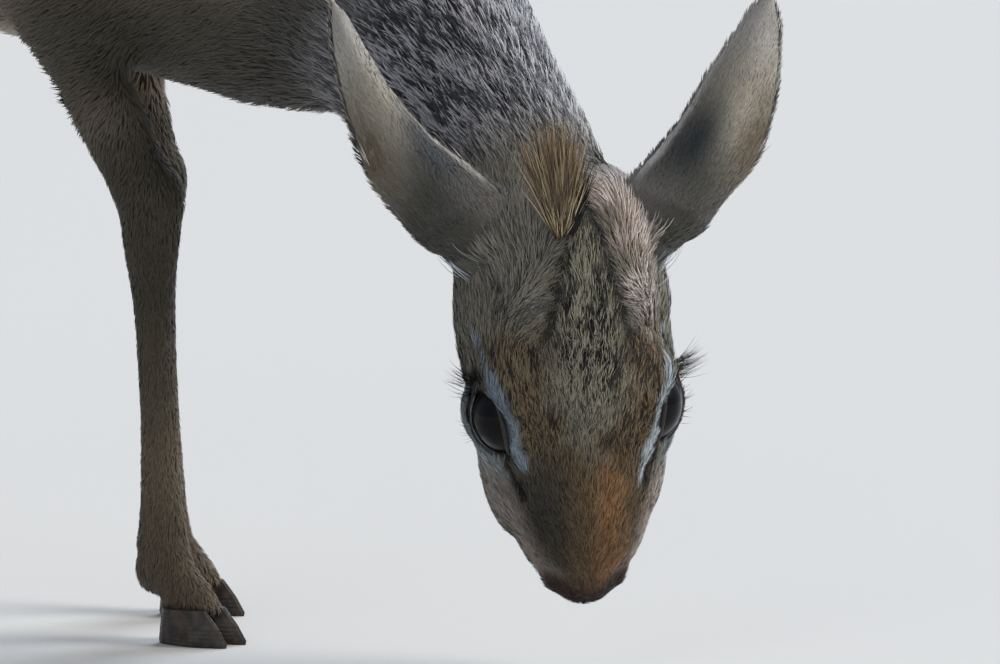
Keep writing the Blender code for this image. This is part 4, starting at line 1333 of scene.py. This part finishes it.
# %% [markdown]
# ## Velvet and fringe of the ears
# The velvet is very short and runs from root to tip. Along both edges stands a soft fringe, and inside the
# cup grow long pale hairs. Roots are drawn in the ear's own rows and columns and looked up in its grid.

# %% Fur of the ears
# Each row: count, length, width and height of the tufts, and whether they line the inside
EAR_FUR = {
    "velvet": (15000, 2.9, 0.32, 0.40, False),
    "lining": (4500, 6.5, 0.40, 1.3, True),
}
FRINGE_HAIRS, FRINGE_SHAPE = 1500, (4.2, 0.32, 0.2, 0)


def in_grid(grid, row, column):
    """Points of a grid between its rows and columns."""
    i, k = np.floor(row).astype(int), np.floor(column).astype(int)
    i, k = np.clip(i, 0, grid.shape[0] - 2), np.clip(k, 0, grid.shape[1] - 2)
    a, b = (row - i)[:, None], (column - k)[:, None]
    low = grid[i, k] * (1 - b) + grid[i, k + 1] * b
    high = grid[i + 1, k] * (1 - b) + grid[i + 1, k + 1] * b
    return low * (1 - a) + high * a


def ear_roots(grid, row, column, flip):
    """Places, normals and directions to the tip at these rows and columns."""
    ahead = in_grid(grid, np.minimum(row + 0.5, len(ear_rows) - 1.001), column)
    behind = in_grid(grid, np.maximum(row - 0.5, 0), column)
    left, right = in_grid(grid, row, np.maximum(column - 0.5, 0)), in_grid(grid, row, column + 0.5)
    normal = unit(np.cross(right - left, ahead - behind)) * (-1 if flip else 1)
    return in_grid(grid, row, column), normal, square_to(unit(ahead - behind), normal)


def ear_patch(word, share, t, half):
    return in_cell("ear_" + word, t * 0.24 + 0.25 + 0.5 * half, np.clip(share, 0, 1))


row_numbers = np.arange(len(ear_rows))
row_widths = np.array([row[1] for row in ear_rows])
row_starts = np.concatenate(([0], np.cumsum(row_widths / row_widths.sum())[:-1]))
MIDDLE = EAR_COLUMNS / 2
for word, side in SIDES.items():
    outer, inner = ears[word]
    middle_normal = ear_roots(outer, np.array([10.0]), np.array([MIDDLE]), False)[1][0]
    turned = (outer[10, EAR_COLUMNS // 2] - inner[10, EAR_COLUMNS // 2]) @ middle_normal <= 0
    for number, (kind, (count, length, width, height, inside)) in enumerate(EAR_FUR.items()):
        draw = np.random.default_rng(700 + number + 10 * (side > 0))
        count = int(count * THIN_OUT)
        row = np.interp(draw.uniform(0, 1, count), row_starts, row_numbers)
        t = draw.uniform(-0.98, 0.98, count)
        row = np.minimum(row, len(ear_rows) - 1.01)
        grid = inner if inside else outer
        here, normal, along = ear_roots(grid, row, (t + 1) * MIDDLE, turned != inside)
        share = np.interp(row, row_numbers, ear_places)
        keep = share > (0.18 if inside else -0.05)
        near_edge = 1 + np.abs(t) ** 4 * inside
        taper = 1 - 0.45 * ramp(share, 0.7, 1)
        shape = [length * near_edge * taper, width * taper, np.full(count, height), np.zeros(count)]
        shape = [column[keep] for column in shape]
        look_of = [values[keep] for values in ear_tones(share, t * side, not inside)]
        patch = ear_patch(word, share, t, int(inside))[keep]
        place = (here[keep], normal[keep], along[keep])
        tufts(f"ear_{kind}_{word}", "ear", *place, look_of, shape, patch, 2, 720 + number)
    draw = np.random.default_rng(740 + (side > 0))
    count = int(FRINGE_HAIRS * THIN_OUT)
    row = draw.uniform(6, len(ear_rows) - 1.01, count)
    t = np.where(draw.uniform(0, 1, count) < 0.5, -0.985, 0.985)
    here, normal, along = ear_roots(outer, row, (t + 1) * MIDDLE * 0.9999, turned)
    outward = np.cross(along, normal)
    from_middle = here - in_grid(outer, row, np.full(count, MIDDLE))
    outward *= np.sign(np.sum(outward * from_middle, axis=1, keepdims=True))
    lean = unit(along * 0.9 + outward * 0.45)
    share = np.interp(row, row_numbers, ear_places)
    pale, dark, grizzle = ear_tones(share, t * side * 0.8, True)
    dark_edge = (t * side > 0) & (share > 0.38) & (draw.uniform(0, 1, count) < 0.6)
    pale[dark_edge] = linear(0.12, 0.11, 0.11)
    shape = [np.full(count, size) for size in FRINGE_SHAPE]
    patch = ear_patch(word, share, t, 0)
    tufts(f"ear_fringe_{word}", "ear", here, normal, lean, (pale, dark, grizzle), shape, patch, 3, 750)

# %% [markdown]
# ## Eyes
# The eye of a small antelope is large, dark and wet. A ball with a slightly raised window gives the wide,
# soft reflection, and a clear coat gives the hard bright one. Iris and pupil are painted by direction from
# the middle of the ball. Both are nearly black, and the wide level pupil shows only in a bright light.

# %% Eyeballs
WINDOW_RISE, WINDOW_WIDTH, BALL_RADIUS = 0.5, 0.5, 12.05


def eye_frame(side):
    """Matrix of one eye: x to the inner corner, z along the gaze."""
    gaze, inner, middle = (Vector((x, y * side, z)) for x, y, z in (EYE_GAZE, EYE_INNER, EYE_CENTRE))
    gaze.normalize()
    forward = (inner - gaze * inner.dot(gaze)).normalized()
    turn = Matrix((forward, gaze.cross(forward), gaze)).transposed().to_4x4()
    return HEAD @ Matrix.Translation(middle * MM) @ turn


def eye_material():
    material, kit, shader = start_material("wet_eye", 0.30, specular=0.05, coat=0.4)
    shader.inputs["Coat IOR"].default_value = 1.30
    gaze = kit.attribute("gaze")
    split = kit.add("ShaderNodeSeparateXYZ")
    kit.join(gaze, split.inputs[0])
    x, y = split.outputs[0], split.outputs[1]
    across = kit.math("MULTIPLY", y, y)
    far, oval = (
        kit.math("SQRT", kit.math("ADD", kit.math("POWER", kit.math("MULTIPLY", x, share), 2.0), across))
        for share in (1.0, 0.72)
    )
    threads = kit.noise(26.0, 4, gaze)
    iris = kit.mix(threads, (0.004, 0.003, 0.003, 1), (0.010, 0.006, 0.004, 1))
    pupil = kit.ramp(oval, 0.34, 0.42)
    coloured = kit.mix(pupil, (0.003, 0.003, 0.004, 1), iris)
    edge = kit.ramp(far, 0.66, 0.78)
    kit.join(kit.mix(edge, coloured, (0.006, 0.005, 0.005, 1)), shader.inputs["Base Color"])
    return material


def from_bmesh(name, bm):
    """A smooth mesh from a bmesh, which is then let go."""
    mesh = bpy.data.meshes.new(name)
    bm.to_mesh(mesh)
    bm.free()
    mesh.shade_smooth()
    return mesh


EYE = eye_material()
for word, side in SIDES.items():
    place_eye = eye_frame(side)
    ball = bmesh.new()
    bmesh.ops.create_uvsphere(ball, u_segments=64, v_segments=40, radius=1)
    gaze = np.array([v.co[:] for v in ball.verts])
    for v in ball.verts:
        flat = math.hypot(v.co.x, v.co.y)
        rise = WINDOW_RISE * math.exp(-((flat / WINDOW_WIDTH) ** 2)) if v.co.z > 0 else 0
        v.co = place_eye @ (v.co * (BALL_RADIUS + rise) * MM)
    mesh = from_bmesh("eyeball_" + word, ball)
    store(mesh, "gaze", "FLOAT_VECTOR", gaze)
    dress(add_object("eyeball_" + word, mesh, EYE), "eye", "eye_" + word)
apart = (eye_frame(1).translation - eye_frame(-1).translation).length / MM
print("eyeballs stand", round(apart, 1), "mm apart")

# %% [markdown]
# ## Lids, tear rim and lashes
# The lids are bare dark skin, thickest along the edge. A bead that follows the opening gives that edge a
# crisp line, which the melted skin alone is too coarse for. Above it the fold of the upper lid is a strip
# that pales into the streak beside the eye. Inside the lower lid lies a wet line whose pale bluish colour is
# a painted reflection of the sky, and long dark lashes stand at the outer corner and point away from the eye.

# %% Lid beads
OPEN_LENGTH, UPPER_WIDTH, LOWER_WIDTH = 10.6, 7.0, 9.3
INNER_CORNER, OUTER_CORNER, OUTER_TURN = 3.2, 3.6, math.radians(22)
LID_RADIUS, LID_SCALE = 12.9, 0.95
OUTER_HEIGHT, INNER_HEIGHT = math.sqrt(60), math.sqrt(12)
BEAD_RADIUS, UPPER_SWELL, TEAR_THICKNESS = 0.62, 0.15, 0.26
TEAR_RADIUS, TEAR_SCALE, TEAR_DEGREES = 12.55, 0.885, range(196, 342, 4)
BEAD_STEPS = 96
# Each row: how far above the lid, distance from the eye's middle, how pale
LID_FOLD = ((0, 13.0, 0), (0.9, 12.9, 0.1), (1.8, 12.6, 0.7), (3.4, 11.6, 1))


def lid_point(side, turn, scale=LID_SCALE, radius=LID_RADIUS, widen=0):
    """A point on the lids' edge in the eye's frame; turn 0 is the inner corner, 90 degrees the upper lid."""
    point = max(math.cos(turn), 0) ** 6
    outer_point = max(-math.cos(turn - OUTER_TURN), 0) ** 6
    width = widen + (UPPER_WIDTH if math.sin(turn) > 0 else LOWER_WIDTH)
    x = (OPEN_LENGTH * math.cos(turn) + INNER_CORNER * point - OUTER_CORNER * outer_point) * scale
    y = width * math.sin(turn) * (1 - 0.3 * point) * scale
    z = max(math.sqrt(max(radius**2 - x * x - y * y, 0)), OUTER_HEIGHT if x < 0 else INNER_HEIGHT)
    return Vector((x, -y * side, z))


def ring(bm, centre, first, second, radius, sides):
    """Corners of a circle round a centre, in the plane of two unit directions."""
    turns = [math.tau * k / sides for k in range(sides)]
    return [bm.verts.new(centre + (first * math.cos(a) + second * math.sin(a)) * radius) for a in turns]


def join_rings(bm, pairs):
    for low, high in pairs:
        for k, (a, b) in enumerate(zip(low, high)):
            after = (k + 1) % len(low)
            bm.faces.new((a, low[after], high[after], b))


def tube(name, path, radii, closed, material, slot, sides=10):
    """A round tube along a path of room points."""
    bm = bmesh.new()
    rings = []
    last = len(path) - 1
    for i, (place, radius) in enumerate(zip(path, radii)):
        before = path[i - 1] if i or closed else path[0]
        after = path[(i + 1) % len(path)] if i < last or closed else path[last]
        along = (after - before).normalized()
        first = (first - along * first.dot(along)).normalized() if i else along.orthogonal().normalized()
        rings.append(ring(bm, place, first, along.cross(first), radius, sides))
    join_rings(bm, zip(rings, rings[1:]))
    if closed:
        join_rings(bm, [(rings[-1], rings[0])])
    else:
        bm.faces.new(rings[0])
        bm.faces.new(rings[-1])
    bmesh.ops.recalc_face_normals(bm, faces=bm.faces)
    dress(add_object(name, from_bmesh(name, bm), material), slot)


def plain_finish(name, first, second, roughness, coat=0.0):
    """A finish of two tones that a fine grain mixes."""
    material, kit, shader = start_material(name, roughness, coat=coat)
    grain = use_group(kit, FINE_GRAIN, Coarse=500.0, Fine=2500.0)
    add_bump(kit, shader, grain["Height"], 0.4, 0.0004)
    tone = kit.mix(grain["Mask"], (*linear(*first), 1), (*linear(*second), 1))
    kit.join(tone, shader.inputs["Base Color"])
    return material


def lid_fold(name, side, place_eye, turns, streak):
    """The strip of skin above the upper lid, dark at the lid and pale where it meets the streak."""
    rows, columns = len(LID_FOLD), len(turns)
    rings = [
        [place_eye @ (lid_point(side, turn, LID_SCALE, radius, widen) * MM) for turn in turns]
        for widen, radius, _ in LID_FOLD
    ]
    quads = grid_quads(rows, columns)[1]
    mesh = array_mesh(name, np.array(rings).reshape(-1, 3), quads[:, ::-1] if side < 0 else quads)
    tones = Tones(rows * columns, (0.07, 0.065, 0.065), (0.20, 0.22, 0.23), 0.0)
    tones.paint(np.repeat([fading for *_, fading in LID_FOLD], columns), streak)
    store_tones(mesh, tones.pale, tones.dark, flat_hair(tones.grizzle))
    mesh.shade_smooth()
    dress(add_object(name, mesh, SKIN), "coat")


LID = plain_finish("lid_skin", (0.05, 0.045, 0.045), (0.09, 0.08, 0.075), 0.55, coat=0.1)
# The tear rim's pale bluish tones are a painted reflection of the sky on the wet rim
TEAR_REFLECTION = plain_finish("tear_film_painted_reflection", (0.44, 0.46, 0.50), (0.30, 0.30, 0.33), 0.15, coat=0.6)
for word, side in SIDES.items():
    place_eye = eye_frame(side)
    turns = [math.tau * k / BEAD_STEPS for k in range(BEAD_STEPS)]
    path = [place_eye @ (lid_point(side, turn) * MM) for turn in turns]
    radii = [(BEAD_RADIUS + UPPER_SWELL * max(math.sin(turn), 0)) * MM for turn in turns]
    tube("lid_" + word, path, radii, True, LID, "coat")
    # On the right the fold pales into the streak's darker tone, which is painted shade
    lid_fold("lid_fold_" + word, side, place_eye, turns[: BEAD_STEPS // 2 + 1], STREAK_TONES_SHADED_RIGHT[word])
    wet = [math.radians(degrees) for degrees in TEAR_DEGREES]
    path = [place_eye @ (lid_point(side, turn, TEAR_SCALE, TEAR_RADIUS) * MM) for turn in wet]
    swell = [max(math.sin(math.pi * k / (len(wet) - 1)), 0.1) ** 0.5 for k in range(len(wet))]
    radii = [TEAR_THICKNESS * MM * share for share in swell]
    tube("tear_rim_" + word, path, radii, False, TEAR_REFLECTION, "eye")
print("steps round each lid:", BEAD_STEPS)

# %% Lashes
# Each row: count, range of places in degrees, range of lengths, radius, lean out of the eye and away from it
LASH_SETS = (
    (90, (145, 230), (6.0, 11.5), 0.11, (0.95, 0.10)),
    (22, (200, 300), (2.5, 4.0), 0.08, (0.65, 0.75)),
)
LASH_LEVELS, LASH_SIDES = 6, 4
LASH = plain_finish("lash_hair", (0.05, 0.045, 0.045), (0.09, 0.08, 0.075), 0.45)


def curved_hair(bm, root, lean, bend, length, radius):
    """A hair that tapers to a point and curves towards bend; all room vectors, sizes in metres."""
    rings = []
    for i in range(LASH_LEVELS):
        s = i / LASH_LEVELS
        centre = root + lean * length * s + bend * length * 0.5 * s * s
        tangent = (lean + bend * s).normalized()
        first = tangent.orthogonal().normalized()
        rings.append(ring(bm, centre, first, tangent.cross(first), radius * (1 - s) ** 0.7, LASH_SIDES))
    tip = bm.verts.new(root + lean * length + bend * length * 0.5)
    bm.faces.new(rings[0])
    join_rings(bm, zip(rings, rings[1:]))
    for k, corner in enumerate(rings[-1]):
        bm.faces.new((corner, rings[-1][(k + 1) % LASH_SIDES], tip))


for word, side in SIDES.items():
    draw = np.random.default_rng(40 + side)
    place_eye = eye_frame(side)
    turn_eye = place_eye.to_3x3()
    bm = bmesh.new()
    for count, turns, lengths, radius, (out, up_lean) in LASH_SETS:
        for _ in range(count):
            edge = lid_point(side, math.radians(draw.uniform(*turns)), LID_SCALE * 1.03, LID_RADIUS + 0.5)
            away = Vector((edge.x, edge.y, 0)).normalized()
            lean = away * up_lean + Vector((-0.25, 0, out)) + Vector(draw.normal(0, 0.17, 3))
            bend = turn_eye @ (away * 0.2 + Vector((-0.30, 0, -0.1)))
            length = draw.uniform(*lengths) * MM
            root = place_eye @ (edge * MM)
            curved_hair(bm, root, turn_eye @ lean.normalized(), bend, length, radius * MM)
    bmesh.ops.recalc_face_normals(bm, faces=bm.faces)
    dress(add_object("lashes_" + word, from_bmesh("lashes_" + word, bm), LASH), "coat")
print("lashes per eye:", sum(row[0] for row in LASH_SETS))

# %% [markdown]
# ## Crest
# Between the ears stands a brush of long tan hair, with black hairs through it and a black lock at one side.
# Its tufts are rooted in a small oval of the poll, lean away from the nose and fan out, and each has more
# joints than the coat's, so that it bends smoothly.

# %% Crest tufts
CREST_MIDDLE, CREST_SPREAD = (-66, -6.5), (5.5, 5.0)
CREST_COUNT = 2600
CREST_WIDTH, CREST_HEIGHT, CREST_BEND = 0.34, 0.5, 0.010

draw = np.random.default_rng(11)
spots = []
while len(spots) < CREST_COUNT:
    a, b = draw.uniform(-1, 1, 2)
    if math.hypot(a, b) < draw.uniform(0.3, 1):
        spots.append((a, b))
spots = np.array(spots)
a, b = spots.T
roots, _, near = on_skin([(x, y, 30) for x, y in spots * CREST_SPREAD + CREST_MIDDLE])
lean = np.stack((-0.87 + 0.03 * a, 0.13 * b - 0.05, 0.47 + 0.12 * a), 1)
lean += draw.normal(0, 0.045, (CREST_COUNT, 3))
along = unit(lean) @ HEAD_AXES.T
up = square_to(np.tile(np.array([0.55, 0.0, 0.84]), (CREST_COUNT, 1)) @ HEAD_AXES.T, along)
black = (b > 0.35 + 0.3 * a) | (draw.uniform(0, 1, CREST_COUNT) < 0.18)
look = Tones(CREST_COUNT, (0.72, 0.65, 0.53), (0.20, 0.15, 0.11), 0.8)
look.pale *= draw.uniform(0.6, 1.3, (CREST_COUNT, 1))
look.paint(draw.uniform(0, 0.9, CREST_COUNT) ** 2, (0.56, 0.43, 0.29))
look.pale[black] = linear(0.11, 0.105, 0.105)
look.dark[black] = linear(0.05, 0.05, 0.055)
length = draw.uniform(18, 36, CREST_COUNT) * (1 - 0.55 * ramp(a, 0.1, 0.9)) * (1 - 0.35 * black)
shape = (length, *(np.full(CREST_COUNT, size) for size in (CREST_WIDTH, CREST_HEIGHT, CREST_BEND)))
look_of = (look.pale, look.dark, look.grizzle)
tufts("crest", "coat", roots, up, along, look_of, shape, skin_patch[near], 6, 12, 0.8)

# %% [markdown]
# ## Pale tufts below the ears
# A small brush of long bluish white hair covers the outer foot of each ear. It is rooted round one spot of
# the temple and lies up over the ear's foot.

# %% Tufts below the ears
EAR_TUFTS = {"right": ((-50, -37, 1), (-0.65, -0.75, 0.05)), "left": ((-50, 32, 3), (-0.62, 0.75, 0.05))}
EAR_TUFT_SPREAD, EAR_TUFT_LIFT, EAR_TUFT_RISE = (3.0, 3.2, 3.0), 1.8, 0.35
EAR_TUFT_COUNT = 700
EAR_TUFT_WIDTH, EAR_TUFT_HEIGHT, EAR_TUFT_BEND = 0.34, 1.6, 0.02

for word, side in SIDES.items():
    draw = np.random.default_rng(60 + side)
    middle, lean = (np.array(row) for row in EAR_TUFTS[word])
    line = middle + draw.normal(0, 1, (EAR_TUFT_COUNT, 3)) * EAR_TUFT_SPREAD
    roots, up, near = on_skin(line)
    roots = roots + up * EAR_TUFT_LIFT * MM
    along = unit(lean + draw.normal(0, 0.12, (EAR_TUFT_COUNT, 3))) @ HEAD_AXES.T
    along = unit(along - up * np.sum(along * up, axis=1, keepdims=True) + up * EAR_TUFT_RISE)
    up = square_to(up, along)
    look = Tones(EAR_TUFT_COUNT, (0.86, 0.89, 0.92), (0.42, 0.45, 0.49), 0.5)
    look.pale *= draw.uniform(0.7, 1.1, (EAR_TUFT_COUNT, 1))
    sizes = (EAR_TUFT_WIDTH, EAR_TUFT_HEIGHT, EAR_TUFT_BEND)
    shape = (draw.uniform(7, 13, EAR_TUFT_COUNT), *(np.full(EAR_TUFT_COUNT, size) for size in sizes))
    look_of = (look.pale, look.dark, look.grizzle)
    tufts("ear_tuft_" + word, "coat", roots, up, along, look_of, shape, skin_patch[near], 3, 61)

# %% [markdown]
# ## Hooves
# The hooves of the solid model already have the right shape, so they stay and only get a better finish: dark
# horn with fine growth lines round it and a satin shine.

# %% Horn of the hooves
def horn_material():
    material, kit, shader = start_material("hoof_horn", 0.42, specular=0.4)
    wave = kit.add("ShaderNodeTexWave", bands_direction="Z")
    wave.inputs["Scale"].default_value = 260
    wave.inputs["Distortion"].default_value = 1.2
    kit.join(kit.place(), wave.inputs["Vector"])
    grain = use_group(kit, FINE_GRAIN, Coarse=240.0, Fine=1500.0)
    height = kit.math("MULTIPLY_ADD", wave.outputs["Fac"], 0.5, grain["Height"])
    add_bump(kit, shader, height, 0.35, 0.0005)
    tone = kit.mix(grain["Mask"], (*linear(0.16, 0.14, 0.12), 1), (*linear(0.28, 0.24, 0.20), 1))
    kit.join(tone, shader.inputs["Base Color"])
    return material


HORN = horn_material()
hooves = [node for name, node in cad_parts.items() if name.startswith("hoof_")]
for hoof in hooves:
    hoof.data.materials.clear()
    hoof.data.materials.append(HORN)
print("hooves:", len(hooves))

# %% [markdown]
# ## Measure
# The box of the dressed model is printed beside that of the solid one. The coat may stand a little proud of
# the solid.

# %% Sizes
dressed_box = [list(corner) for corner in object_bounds()]
for low, high in (solid_box, dressed_box):
    print("box in millimetres:", [round((b - a) / MM, 1) for a, b in zip(low, high)])
